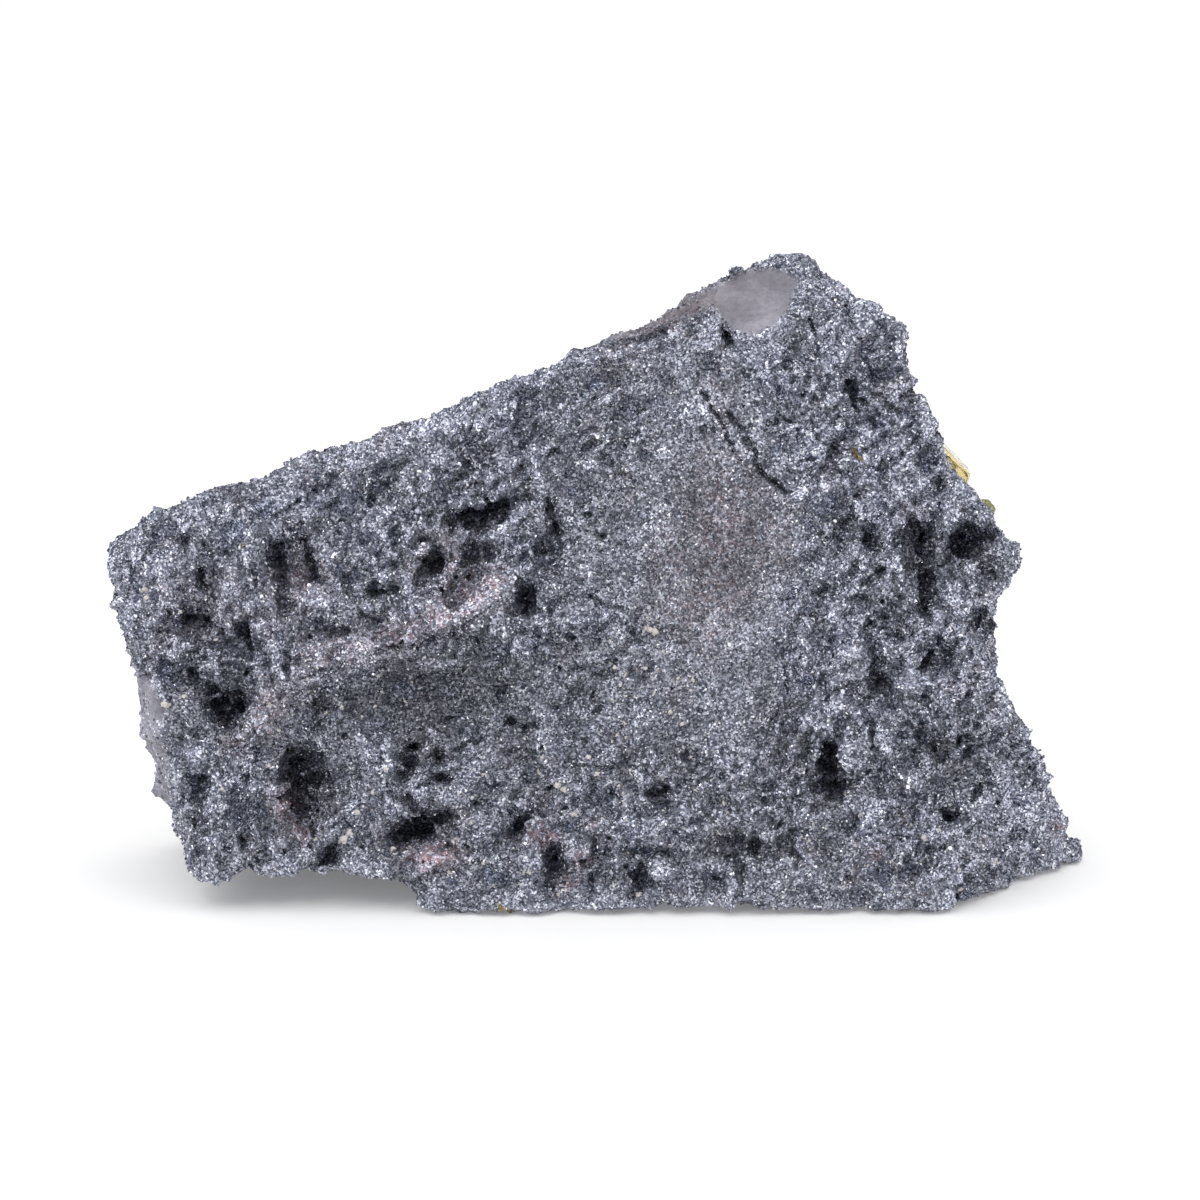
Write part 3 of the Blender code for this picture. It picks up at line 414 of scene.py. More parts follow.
# Ridges: half width, height, places
ridges = [
    (.20, .5, [(-22.8, 23.0), (-22.8, 21.3)]),
    (.50, .5, [(-22.3, 20.9), (-21.8, 20.0), (-22.3, 19.2), (-22.5, 18.0)]),
    (.16, .5, [(-22.4, 18.0), (-22.9, 16.6)]), (.16, .4, [(-25.1, 18.9), (-25.2, 18.1)]),
    (.35, .4, [(-26.0, 20.5), (-25.7, 19.4), (-25.9, 18.5)]),
    (.38, .5, [(-20.4, 23.3), (-20.6, 22.0), (-20.8, 21.4)]),
    (.20, .4, [(-19.4, 23.8), (-18.0, 24.0), (-17.2, 24.4)]),
    (.34, .6, [(-21.0, 18.8), (-20.3, 17.5), (-19.6, 16.4), (-19.2, 15.6), (-19.2, 14.0)]),
    (.22, .5, [(-19.8, 18.9), (-19.5, 18.0), (-19.4, 16.8)]),
    (.33, .5, [(-17.0, 24.6), (-16.8, 22.4), (-16.4, 21.0), (-16.6, 20.3)]),
    (.40, .4, [(-18.3, 20.6), (-18.3, 19.3), (-17.8, 18.6), (-16.5, 18.6), (-15.5, 18.8)]),
    (.22, .4, [(-14.4, 20.7), (-14.3, 19.5)]),
    (.65, .45, [(-21.3, 11.2), (-19.6, 12.4), (-18.2, 14.0), (-16.8, 15.0), (-14.6, 15.7), (-12.0, 16.5),
      (-9.5, 17.5), (-7.4, 18.8), (-5.6, 19.7)]),
    (.35, .5, [(-18.6, 15.4), (-17.2, 16.0), (-14.4, 16.7), (-12.5, 16.8)]),
    (.20, .4, [(-24.7, 12.2), (-24.6, 10.5), (-24.4, 9.3)]),
    (.18, .4, [(-25.1, 7.9), (-24.1, 6.4), (-22.9, 7.6), (-23.2, 9.0)]),
    (.35, .4, [(-20.9, 6.2), (-20.8, 8.0)]), (.16, .4, [(-14.0, 5.0), (-13.8, 3.4)]),
    (.50, .4, [(-14.8, 6.2), (-14.3, 6.3)]), (.36, .5, [(-16.3, 6.4), (-16.6, 4.4)]),
    (.75, .5, [(-10.4, 7.1), (-9.5, 7.1)]),
    (.22, .5, [(-11.5, 7.8), (-10.8, 8.6), (-9.8, 8.7), (-8.9, 9.0)]),
    (.42, .5, [(-12.6, 10.3), (-12.7, 8.8)]), (.80, .4, [(-10.4, 3.5), (-9.4, 3.6)]),
    (.24, .7, [(-9.2, 24.4), (-7.6, 24.8), (-6.5, 25.2), (-5.2, 25.5), (-4.5, 25.7), (-4.1, 26.4)]),
    (.42, .6, [(-3.6, 28.0), (-3.6, 26.5), (-3.5, 25.0), (-3.5, 23.8)]),
    (.34, .7, [(-7.0, 22.4), (-6.2, 22.8), (-5.5, 23.5), (-4.6, 24.1), (-3.9, 24.5)]),
    (.24, .5, [(-5.5, 22.6), (-5.8, 21.5), (-6.1, 20.7)]),
    (.36, .5, [(-8.4, 23.0), (-8.3, 22.0), (-8.7, 21.0), (-9.0, 20.5)]),
    (.28, .5, [(-10.3, 21.9), (-11.2, 21.6), (-11.4, 20.3), (-11.2, 19.3)]),
    (.28, .4, [(-4.8, 20.7), (-4.2, 20.1)]), (.45, .5, [(-6.3, 19.3), (-5.5, 19.8)]),
    (.20, .35, [(-1.0, 26.9), (0.5, 26.3), (2.0, 26.8)]),
    (.2, .4, [(-8.4, 27.9), (-7.4, 26.9), (-6.9, 26.4)]), (.26, .4, [(3.4, 5.9), (2.5, 7.4), (2.3, 8.6)]),
    (.14, .4, [(5.2, 7.4), (6.0, 6.8), (6.5, 6.2)]), (.40, .3, [(4.6, 6.4), (5.6, 6.6)]),
    (.20, .4, [(-3.9, 6.1), (-4.1, 5.0), (-4.2, 4.1)]), (.22, .4, [(6.6, 3.1), (7.7, 2.6), (8.0, 1.7)]),
    (.45, .4, [(3.4, 2.7), (4.3, 2.5)]), (.24, .4, [(0.6, 3.2), (1.2, 2.2), (1.0, 1.4)]),
    (.26, .55, [(16.4, 17.2), (16.8, 15.8), (17.3, 14.7), (18.0, 13.8), (18.8, 13.4), (19.4, 13.9)]),
    (.40, .35, [(19.9, 13.4), (21.1, 14.8), (22.0, 16.4)]), (.18, .5, [(17.0, 18.4), (17.5, 17.8)]),
    (.30, .6, [(16.2, 12.3), (16.7, 11.4), (17.0, 10.2), (17.5, 9.2), (18.4, 8.3), (19.2, 7.5)]),
    (.16, .35, [(14.3, 12.7), (13.4, 11.3)]), (.16, .35, [(13.5, 13.0), (12.6, 11.6)]),
    (.16, .4, [(20.0, 19.6), (21.5, 18.9), (22.8, 18.6)]),
    (.22, .45, [(19.0, 6.5), (20.0, 5.7), (20.0, 4.8), (20.4, 4.0), (20.9, 3.0), (21.6, 1.8)]),
    (.45, .5, [(25.9, 7.0), (25.7, 6.2)]),
    (.22, .5, [(14.0, 30.5), (14.5, 29.8), (14.8, 29.2), (15.6, 28.9), (16.3, 28.3)]),
    (.20, .5, [(16.8, 31.2), (17.7, 30.5), (18.8, 30.2)]),
    (.18, .4, [(15.4, 31.0), (16.6, 30.2), (17.5, 29.6)]),
    (.14, .45, [(12.6, 31.4), (12.3, 30.2), (12.1, 28.8)]), (.14, .4, [(11.7, 30.3), (12.5, 30.6)]),
    (.16, .4, [(13.9, 32.4), (13.7, 30.6)]), (.14, .35, [(16.0, 26.6), (16.3, 25.7), (16.8, 25.0)]),
    (.14, .35, [(17.8, 26.5), (17.5, 25.5)]),
    (.28, .45, [(-1.4, 33.0), (0.0, 33.1), (1.5, 33.35), (3.0, 33.85), (5.0, 34.7), (7.0, 35.1)]),
    (.30, .35, [(8.0, 34.3), (9.5, 34.7), (11.2, 35.2)]),
    (.22, .4, [(20.4, 24.0), (20.5, 22.8), (20.1, 21.2)]),
    (.5, .35, [(11.8, 25.0), (13.0, 25.6), (14.2, 25.8)]),
    (.5, .35, [(15.8, 24.4), (17.6, 24.9), (19.4, 25.6)]), (.3, .4, [(8.9, 33.5), (9.4, 32.6), (9.1, 31.4)]),
    (.3, .4, [(17.4, 23.6), (17.3, 21.8), (18.0, 20.0)]), (.3, .4, [(-13.0, 22.6), (-12.2, 21.6)]),
    (.3, .4, [(23.3, 21.9), (24.3, 21.4)]), (.3, .4, [(23.0, 9.4), (23.8, 8.2)]),
    (.25, .4, [(-26.8, 20.6), (-26.6, 17.8)]),
]

# Zones crossed by small blades and pitted between them: across, up, half width, half height
vuggyZones = [
    dict(spot=(-22.5, 18.5, 6.5, 6.5), blades=80, holes=40, tilts=(80, 55, 110), length=(.8, 2.2)),
    dict(spot=(-11.0, 23.0, 8.0, 4.0), blades=80, holes=44, tilts=(25, 60, 100), length=(.8, 2.0)),
    dict(spot=(-20.5, 6.5, 5.0, 4.5), blades=40, holes=26, tilts=(20, 75, 110), length=(.8, 2.0)),
    dict(spot=(-9.0, 7.0, 8.5, 5.0), blades=50, holes=46, tilts=(20, 45, 120), length=(.7, 1.8)),
    dict(spot=(4.0, 5.5, 9.0, 4.5), blades=60, holes=50, tilts=(80, 30, 110), length=(.7, 1.8)),
    dict(spot=(17.5, 18.5, 6.0, 8.5), blades=130, holes=44, tilts=(50, 125, 75), length=(1.0, 2.8)),
    dict(spot=(15.0, 30.5, 5.5, 4.6), blades=80, holes=34, tilts=(55, 120, 35), length=(.8, 2.2)),
    dict(spot=(20.5, 7.5, 6.5, 6.0), blades=80, holes=34, tilts=(60, 110, 35), length=(.9, 2.2)),
    dict(spot=(-1.0, 15.0, 5.0, 5.0), blades=20, holes=26, tilts=(15, 60), length=(.6, 1.4)),
    dict(spot=(12.5, 11.5, 2.5, 6.0), blades=36, holes=6, tilts=(62, 75), length=(1.2, 2.8)),
    dict(spot=(-3.0, 29.5, 6.0, 2.4), blades=30, holes=16, tilts=(30, 55), length=(.8, 1.8)),
    dict(spot=(-17.2, 13.8, 2.4, 2.0), blades=26, holes=12, tilts=(40, 75, 110), length=(.5, 1.3)),
    dict(spot=(-10.6, 17.2, 4.2, 1.5), blades=34, holes=14, tilts=(25, 60, 110), length=(.5, 1.3)),
]


def skinTree(piece):
    graph = bpy.context.evaluated_depsgraph_get()
    return BVHTree.FromObject(piece, graph)


def onSkin(tree, across, up):
    # the point and normal of the skin seen at a place of the face
    start = eye * mm
    way = (facePoint(across, up) * mm - start).normalized()
    hit, normal, index, reach = tree.ray_cast(start, way)
    return hit, normal


def makeBall(subdivisions):
    bpy.ops.object.select_all(action="DESELECT")
    bpy.ops.mesh.primitive_ico_sphere_add(subdivisions=subdivisions, radius=1.0)
    return bpy.context.object


def copyBall(ball, name):
    piece = bpy.data.objects.new(name, ball.data.copy())
    bpy.context.scene.collection.objects.link(piece)
    return piece


# Pits: how far in they start, in depths, and how wide they are in the middle and how much wider at the mouth
pits = dict(
    start=0.1,
    middle=0.86,
    widening=0.34,
    ragged=((0.9, 1.1), (0.75, 2.7), (0.4, 6.0)),     # shares, and the pace of each to the mm
    thinnest=-0.6,
    voxel=0.11,
    keepShare=0.25,
)


def addPit(tree, ball, across, up, halfWidth, halfHeight, depth, tilt):
    # a ragged funnel, widest at its mouth
    hit, normal = onSkin(tree, across, up)
    if hit is None:
        return None
    way = (hit - eye * mm).normalized()
    pit = copyBall(ball, "pit")
    turn = Matrix.Rotation(-math.radians(tilt), 3, "Y")
    centre = hit + way * pits["start"] * depth * mm
    for vertex in pit.data.vertices:
        side = vertex.co.copy()
        mouth = pits["middle"] - pits["widening"] * side.y
        local = turn @ Vector((side.x * halfWidth * mouth, side.y * depth, side.z * halfHeight * mouth))
        seed = centre / mm + local
        ragged = sum(share * noise.noise(seed * pace) for share, pace in pits["ragged"])
        vertex.co = local * (1.0 + max(pits["thinnest"], ragged)) * mm + centre
    return pit


def addChannel(tree, ball, dice, halfWidth, depth, places):
    # overlapping funnels along a line, or one funnel with smaller ones on its rim
    spots = []
    for (x0, z0), (x1, z1) in zip(places[:-1], places[1:]):
        count = max(1, round(math.hypot(x1 - x0, z1 - z0) / (0.75 * halfWidth)))
        spots += [(x0 + (x1 - x0) * step / count, z0 + (z1 - z0) * step / count) for step in range(count)]
    spots.append(places[-1])
    pieces = []
    for x, z in spots:
        wide = halfWidth * dice.uniform(0.65, 1.35)
        tall = halfWidth * dice.uniform(0.65, 1.35)
        x += halfWidth * dice.uniform(-0.45, 0.45)
        z += halfWidth * dice.uniform(-0.45, 0.45)
        deep = 0.5 * depth * dice.uniform(0.7, 1.1)
        pieces.append(addPit(tree, ball, x, z, wide, tall, deep, dice.uniform(-60, 60)))
        for side in range(2 if halfWidth > 0.28 else 1):
            angle = dice.uniform(0.0, math.tau)
            size = halfWidth * dice.uniform(0.25, 0.5)
            rimX, rimZ = x + wide * math.cos(angle), z + tall * math.sin(angle)
            rimTall = size * dice.uniform(0.6, 1.5)
            pieces.append(addPit(tree, ball, rimX, rimZ, size, rimTall, depth * 0.35, dice.uniform(-60, 60)))
    return pieces


def inSpot(dice, spot):
    x, z, halfWidth, halfHeight = spot
    reach = math.sqrt(dice.random())
    angle = dice.uniform(0.0, math.tau)
    return x + halfWidth * reach * math.cos(angle), z + halfHeight * reach * math.sin(angle)


# Knobs on the outline: across, up, radius in mm
knobs = [
    (24.6, 21.4, .3), (24.3, 20.9, .26), (24.0, 20.1, .28), (23.8, 18.4, .26), (25.2, 11.6, .32),
    (26.2, 9.9, .34), (26.8, 8.3, .32), (27.2, 6.9, .3), (27.9, 5.5, .34), (28.2, 4.2, .3), (28.7, 3.1, .42),
    (18.1, 34.8, .34), (18.3, 33.0, .3), (13.0, 38.6, .34), (10.9, 39.3, .32), (14.4, 37.0, .3),
    (16.4, 35.6, .3), (-29.1, 20.8, .4), (-28.5, 17.0, .3), (-27.7, 14.4, .3), (-28.1, 22.7, .4),
    (-1.4, 33.4, .3), (-21.5, 25.4, .3), (-13.9, 28.0, .3), (8.3, 38.2, .3), (-24.7, 3.6, .3),
    (-26.6, 24.0, .32), (-9.4, 29.9, .28), (-5.2, 31.5, .28), (3.6, 35.3, .28), (19.6, 29.6, .3),
    (24.2, 13.3, .3), (-17.0, 27.2, .28), (-19.4, 26.3, .28), (-25.9, 6.4, .3), (22.0, 0.9, .3),
    (16.6, 0.5, .3),
]


def addKnob(tree, ball, across, up, radius):
    # a knob seen at this place, as far from the eye as the skin just inside the outline
    inward = (Vector((0.0, 17.0)) - Vector((across, up))).normalized() * 0.6
    hit, normal = onSkin(tree, across + inward.x, up + inward.y)
    if hit is None:
        return None
    start = eye * mm
    place = facePoint(across + 0.5 * inward.x, up + 0.5 * inward.y) * mm
    centre = start + (place - start).normalized() * (hit - start).length
    knob = copyBall(ball, "knob")
    for vertex in knob.data.vertices:
        ragged = 1.0 + 0.5 * noise.noise((centre / mm + vertex.co * radius) * 2.0)
        vertex.co = vertex.co * radius * 1.25 * ragged * mm + centre
    return knob


# Ore grown up against the front end of the honey crystal, in the part's own mm
collar = dict(
    places=[(19.7, -3.6, 26.8), (21.45, -4.1, 25.2), (21.2, -4.35, 23.9), (20.7, -4.4, 22.7)],
    step=0.4,
    radius=0.52,
    uneven=0.16,
)


def addCollar(ball):
    pieces = []
    for first, second in zip(collar["places"][:-1], collar["places"][1:]):
        first, second = Vector(first), Vector(second)
        count = math.ceil((second - first).length / collar["step"])
        for step in range(count + 1):
            lump = copyBall(ball, "lump")
            middle = first.lerp(second, step / count)
            radius = collar["radius"] + collar["uneven"] * noise.noise(middle * 1.7)
            lump.data.transform(Matrix.Translation(middle * mm) @ Matrix.Scale(radius * mm, 4))
            pieces.append(lump)
    return pieces


# Blades and furrows of the zones: half widths and heights or depths in mm, turn in degrees, bend
strokes = dict(
    blade=((0.12, 0.22), (0.3, 0.6)),
    furrow=((0.14, 0.30), (0.2, 0.5)),
    turn=16,
    bend=0.15,
)


def zoneBlades():
    # seeded blades and the furrows between them
    dice = random.Random(stone["seed"])
    blades, furrows = [], []
    for zone in vuggyZones:
        for number in range(2 * zone["blades"]):
            x, z = inSpot(dice, zone["spot"])
            turn = math.radians(dice.choice(zone["tilts"]) + dice.uniform(-strokes["turn"], strokes["turn"]))
            reach = 0.5 * dice.uniform(*zone["length"])
            bend = dice.uniform(-strokes["bend"], strokes["bend"])
            dx, dz = reach * math.cos(turn), reach * math.sin(turn)
            places = [(x - dx, z - dz), (x - bend * dz, z + bend * dx), (x + dx, z + dz)]
            widths, heights = strokes["blade" if number % 2 else "furrow"]
            stroke = (dice.uniform(*widths), dice.uniform(*heights), places)
            if number % 2:
                blades.append(stroke)
            else:
                furrows.append(stroke)
    return blades, furrows


def strokeRise(across, up, drawn):
    # how far strokes of (half width, height, places) reach at every place
    rise = np.zeros(len(across))
    for halfWidth, height, places in drawn:
        corners = np.array(places)
        low, high = corners.min(axis=0) - 2.2 * halfWidth, corners.max(axis=0) + 2.2 * halfWidth
        near = np.nonzero((across > low[0]) & (across < high[0]) & (up > low[1]) & (up < high[1]))[0]
        if len(near) == 0:
            continue
        x, z = across[near], up[near]
        gap = np.hypot(x - corners[0][0], z - corners[0][1])
        for (x0, z0), (x1, z1) in zip(places[:-1], places[1:]):
            dx, dz = x1 - x0, z1 - z0
            along = np.clip(((x - x0) * dx + (z - z0) * dz) / (dx * dx + dz * dz + 1e-9), 0.0, 1.0)
            gap = np.minimum(gap, np.hypot(x - x0 - along * dx, z - z0 - along * dz))
        rise[near] = np.maximum(rise[near], height * np.exp(-(gap / halfWidth) ** 2))
    return rise


# How places wander before strokes are drawn: the pace to the mm, and how far in mm
wandering = dict(coarse=(0.55, 0.42), fine=(1.9, 0.2))


def wander(across, up):
    # the same places, pushed about a little so that no line runs true
    coarsePace, coarseFar = wandering["coarse"]
    finePace, fineFar = wandering["fine"]
    places = np.empty((len(across), 2))
    for number, (x, z) in enumerate(zip(across, up)):
        coarse = noise.noise_vector((coarsePace * x, coarsePace * z, 4.0))
        fine = noise.noise_vector((finePace * x, finePace * z, 9.0))
        places[number, 0] = x + coarseFar * coarse.x + fineFar * fine.x
        places[number, 1] = z + coarseFar * coarse.y + fineFar * fine.y
    return places[:, 0], places[:, 1]


# How strokes shape the skin: a bowl lies round each wide hollow, and thin lines are pressed in deeper
shaping = dict(
    bowlWidth=1.7,
    bowlDepth=0.5,
    deepestBowl=0.8,
    ridgeWidth=0.8,
    ridgeHeight=1.3,
    thinLine=0.2,       # mm, lines and hollows narrower than this are thin
    lineDepth=1.5,
    raised=1.2,
    furrows=0.8,
)


def relief(across, up):
    x, z = wander(across, up)
    bowls = [(shaping["bowlWidth"] * width, min(shaping["deepestBowl"], shaping["bowlDepth"] * depth), places)
             for width, depth, places in hollows if width > shaping["thinLine"]]
    uneven = np.array([0.85 + 0.8 * noise.noise((0.8 * a, 0.8 * b, 2.0)) for a, b in zip(across, up)])
    narrow = [(shaping["ridgeWidth"] * width, shaping["ridgeHeight"] * height, places)
              for width, height, places in ridges]
    lines = [(width, (shaping["lineDepth"] if width < shaping["thinLine"] else 1.0) * depth, places)
             for width, depth, places in grooves]
    raised = shaping["raised"] * np.maximum(strokeRise(x, z, narrow), strokeRise(x, z, blades)) * uneven
    furrowed = shaping["furrows"] * strokeRise(x, z, furrows)
    sunk = np.maximum(strokeRise(x, z, lines + bowls), furrowed) * uneven
    return raised, sunk


def panelShare(across, up, corners, softness=0.4):
    # 1 inside a many-sided panel, 0 outside it
    corners = np.array(corners)
    inside = np.zeros(len(across), bool)
    gap = np.full(len(across), 1e9)
    for (x0, z0), (x1, z1) in zip(corners, np.roll(corners, -1, axis=0)):
        dx, dz = x1 - x0, z1 - z0
        inside ^= ((z0 > up) != (z1 > up)) & (across < dx * (up - z0) / (dz + 1e-9) + x0)
        along = np.clip(((across - x0) * dx + (up - z0) * dz) / (dx * dx + dz * dz), 0.0, 1.0)
        gap = np.minimum(gap, np.hypot(across - x0 - along * dx, up - z0 - along * dz))
    return np.clip(np.where(inside, gap, -gap) / softness + 0.5, 0.0, 1.0)


# Smooth panels: how smooth, how far they lie below the rest in mm, and their corners
panels = [
    (1.0, 0.15, [(7.1, 35.2), (8.0, 34.7), (10.2, 34.9), (11.3, 35.8), (11.7, 37.7), (10.9, 38.3),
      (8.5, 38.3), (7.0, 37.6), (6.5, 36.4)]),
    (0.9, 0.4, [(-0.2, 34.1), (1.5, 34.35), (3.0, 34.8), (5.0, 35.6), (6.9, 35.9), (7.0, 36.6),
      (7.2, 37.5), (5.2, 36.8), (2.4, 35.5)]),
    (0.9, 0.0, [(-28.6, 14.3), (-26.9, 14.4), (-26.2, 12.4), (-26.1, 9.6), (-25.6, 7.0), (-26.6, 6.6),
      (-28.8, 11.0)]),
]


def panelling(across, up):
    x, z = wander(across, up)
    smooth, low = np.zeros(len(across)), np.zeros(len(across))
    for share, drop, corners in panels:
        inside = panelShare(x, z, corners)
        smooth = np.maximum(smooth, share * inside)
        low = np.maximum(low, drop * inside)
    return smooth, low


def facingEye(points, normals):
    way = np.array(eye) - points
    way /= np.linalg.norm(way, axis=1)[:, None]
    return np.clip((way * normals).sum(axis=1) * 3.0 + 0.2, 0.0, 1.0)


# Places where the surface is calmer than the rest: across, up, half width, half height, tilt, how calm
calmSpots = [
    (6.5, 20.5, 5.5, 12.0, 0, .62), (21.9, 26.6, 1.2, 1.8, 0, 1.0), (-11.5, 13.6, 5.4, 1.9, 14, .9),
    (-27.4, 10.5, 1.0, 3.5, 0, 1.0), (-24.1, 7.6, 1.3, 1.4, 0, .7), (-3.6, 9.2, 4.4, 1.2, 8, .7),
]


def calmness(across, up):
    calm = np.zeros(len(across))
    for spot in calmSpots:
        calm = np.maximum(calm, spot[5] * np.minimum(1.0, 1.6 * blob(across, up, spot)))
    return np.clip(calm, 0.0, 0.95)


# Places moved to follow the outline: across, up, half width, half height, move across, move up
nudges = [
    (-8.5, 30.0, 3.5, 1.6, 0.0, -0.35), (21.5, 26.9, 1.1, 1.7, -0.5, 0.0), (18.4, 33.0, 1.4, 2.5, -0.3, 0.0),
    (24.5, 17.0, 1.6, 5.0, -0.3, 0.0), (27.0, 7.5, 1.8, 4.0, -0.2, 0.0), (-26.2, 5.5, 1.6, 3.4, 0.5, 0.0),
    (-28.5, 22.5, 1.8, 1.8, 0.35, -0.1), (11.0, 38.6, 1.0, 1.0, 0.0, 0.25),
    (23.9, 22.9, 0.6, 0.6, 0.25, 0.0), (4.8, 36.9, 2.8, 1.5, 0.0, 0.5), (20.6, 30.0, 1.2, 1.6, -0.3, 0.0),
]


def roughenSkin(skin):
    points = readPoints(skin)
    normals = readNormals(skin)
    across, up = facePlaces(points)
    facing = facingEye(points, normals)
    smooth, low = panelling(across, up)
    calm = np.maximum(calmness(across, up), 0.96 * smooth) * facing
    raised, sunk = relief(across, up)
    lift = (raised - sunk) * facing * (1.0 - 0.6 * calm) * (1.0 - smooth) - low * facing
    for number, point in enumerate(points):
        place = Vector(point)
        broad = noise.noise(place / stone["broadSize"])
        fine = noise.fractal(place / stone["fineSize"], 1.0, 2.0, 3)
        drift = noise.noise_vector(place / stone["driftSize"])
        near = noise.voronoi(place / stone["wallSize"] + drift * 0.7)[0]
        fold = 0.5 - 2.4 * abs(noise.noise(place / stone["foldSize"] + drift * 0.5))
        wall = max(0.0, 1.0 - 2.2 * (near[1] - near[0])) - 0.35
        grain = noise.noise(place / stone["grainSize"])
        rough = stone["broadLift"] * broad + stone["fineLift"] * fine
        rough += stone["wallLift"] * wall
        rough += stone["foldLift"] * fold
        rough += stone["grainLift"] * grain
        lift[number] += rough * (1.0 - calm[number]) * (1.35 - 0.35 * facing[number])
    level = np.clip(-1.5 * normals[:, 2], 0.0, 1.0)
    lift -= stone["sideDrop"] * (1.0 - facing) * (1.0 - level)
    points += normals * lift[:, None]
    for spot in nudges:
        share = blob(across, up, (*spot[:4], 0.0))
        points[:, 0] += spot[4] * share
        points[:, 2] += spot[5] * share * (points[:, 2] > 1.0)
    # the foot draws back a little at the front, so that a line of shadow shows under it
    low = np.clip(1.0 - points[:, 2] / stone["footHeight"], 0.0, 1.0)
    inFront = np.clip((5.0 - points[:, 1]) / 8.0, 0.0, 1.0)
    points[:, 1] += stone["footDepth"] * (low * inFront)
    writePoints(skin, points)


def keepInBox(piece):
    # nothing reaches past the measured size of the specimen
    points = readPoints(piece) * mm
    writePoints(piece, np.clip(points, np.array(cadBounds[0]), np.array(cadBounds[1])) / mm)


# Small pits of the zones: half width in mm, height and depth in half widths, turn in degrees
smallPits = dict(size=(0.12, 0.30), height=(0.8, 2.4), depth=(0.8, 1.9), turn=20)


def buildSkin():
    dice = random.Random(stone["seed"] + 1)
    skin = copyNode("matrix", "oreSkin")
    ball = makeBall(3)
    tree = skinTree(skin)
    grown = [addKnob(tree, ball, *knob) for knob in knobs]
    skin = joinAll([skin] + [piece for piece in grown if piece] + addCollar(ball), "oreSkin")
    applyModifier(skin, "REMESH", mode="VOXEL", voxel_size=stone["voxel"] * mm)
    applyModifier(skin, "SMOOTH", factor=0.5, iterations=stone["smoothRounds"])
    roughenSkin(skin)
    print(f"skin roughened {len(skin.data.polygons)}")
    tree = skinTree(skin)
    holes = []
    for halfWidth, depth, places in hollows:
        holes += addChannel(tree, ball, dice, halfWidth, depth, places)
    for zone in vuggyZones:
        for number in range(zone["holes"]):
            across, up = inSpot(dice, zone["spot"])
            size = dice.uniform(*smallPits["size"])
            tall = size * dice.uniform(*smallPits["height"])
            tilt = dice.choice(zone["tilts"]) - 90.0 + dice.uniform(-smallPits["turn"], smallPits["turn"])
            deep = size * dice.uniform(*smallPits["depth"])
            holes.append(addPit(tree, ball, across, up, size, tall, deep, tilt))
    cutter = joinAll([piece for piece in holes if piece], "pitCutter")
    print("cutters ready")
    applyModifier(cutter, "REMESH", mode="VOXEL", voxel_size=pits["voxel"] * mm)
    applyModifier(cutter, "DECIMATE", ratio=pits["keepShare"])
    applyModifier(skin, "BOOLEAN", operation="DIFFERENCE", solver="MANIFOLD", object=cutter)
    for piece in (cutter, ball):
        bpy.data.objects.remove(piece, do_unlink=True)
    print(f"pits cut {len(skin.data.polygons)}")
    return skin


def thinSkin(skin):
    # fewer triangles where the skin faces away from the view
    applyModifier(skin, "TRIANGULATE")
    share = stone["keepTriangles"] / len(skin.data.polygons)
    if share < 1.0:
        points = readPoints(skin)
        hidden = facingEye(points, readNormals(skin)) < 0.3
        group = skin.vertex_groups.new(name="hidden")
        for number in np.nonzero(hidden)[0]:
            group.add([int(number)], 1.0, "REPLACE")
        hiddenShare = float(hidden.mean())
        ratio = max(0.2, 1.0 - (1.0 - share) / max(hiddenShare, 0.05))
        applyModifier(skin, "DECIMATE", ratio=ratio, vertex_group="hidden")
        skin.vertex_groups.clear()
        applyModifier(skin, "DECIMATE", ratio=min(1.0, stone["keepTriangles"] / len(skin.data.polygons)))
    print(f"skin thinned {len(skin.data.polygons)}")


blades, furrows = zoneBlades()
skin = buildSkin()
thinSkin(skin)
keepInBox(skin)

# Spots on the surface: across, up, half width, half height, tilt, strength; the warm spots are the ore's own
# reddish tint
warmSpots = [
    (-10.0, 3.6, 1.8, .9, 0, 1.0), (-3.8, 5.0, .8, .6, 0, .8), (-3.0, 4.5, .7, .6, 0, .6),
    (-2.0, 2.0, .8, .7, 0, .6), (-1.0, 3.4, .7, .7, 0, .6), (-0.5, 5.5, .6, .5, 0, .5),
    (-18.5, 7.0, 1.0, 1.2, 0, .9), (-18.0, 5.0, .9, .9, 0, .7), (-19.4, 12.6, 1.6, 1.2, 45, .4),
    (-16.2, 15.6, 1.9, 1.2, 20, .4), (-12.6, 16.7, 2.2, 1.2, 17, .4), (-9.2, 18.0, 2.0, 1.2, 24, .42),
    (-6.6, 19.5, 1.4, 1.1, 30, .42), (-21.8, 10.6, 1.2, 1.2, 0, .35), (16.6, 3.6, .6, .5, 0, .6),
    (15.3, 2.5, .5, .4, 0, .6), (27.6, 5.3, .6, .5, 0, .8), (7.5, 23.0, 3.0, 3.6, 0, .45),
    (6.0, 18.0, 3.0, 2.4, 0, .3), (-17.5, 20.0, 2.0, 1.5, 0, .4), (-9.0, 21.0, 2.0, 1.6, 0, .4),
    (4.2, 35.6, 3.4, .8, 22, .6), (-24.0, 18.6, 3.0, 2.0, 0, .25),
]
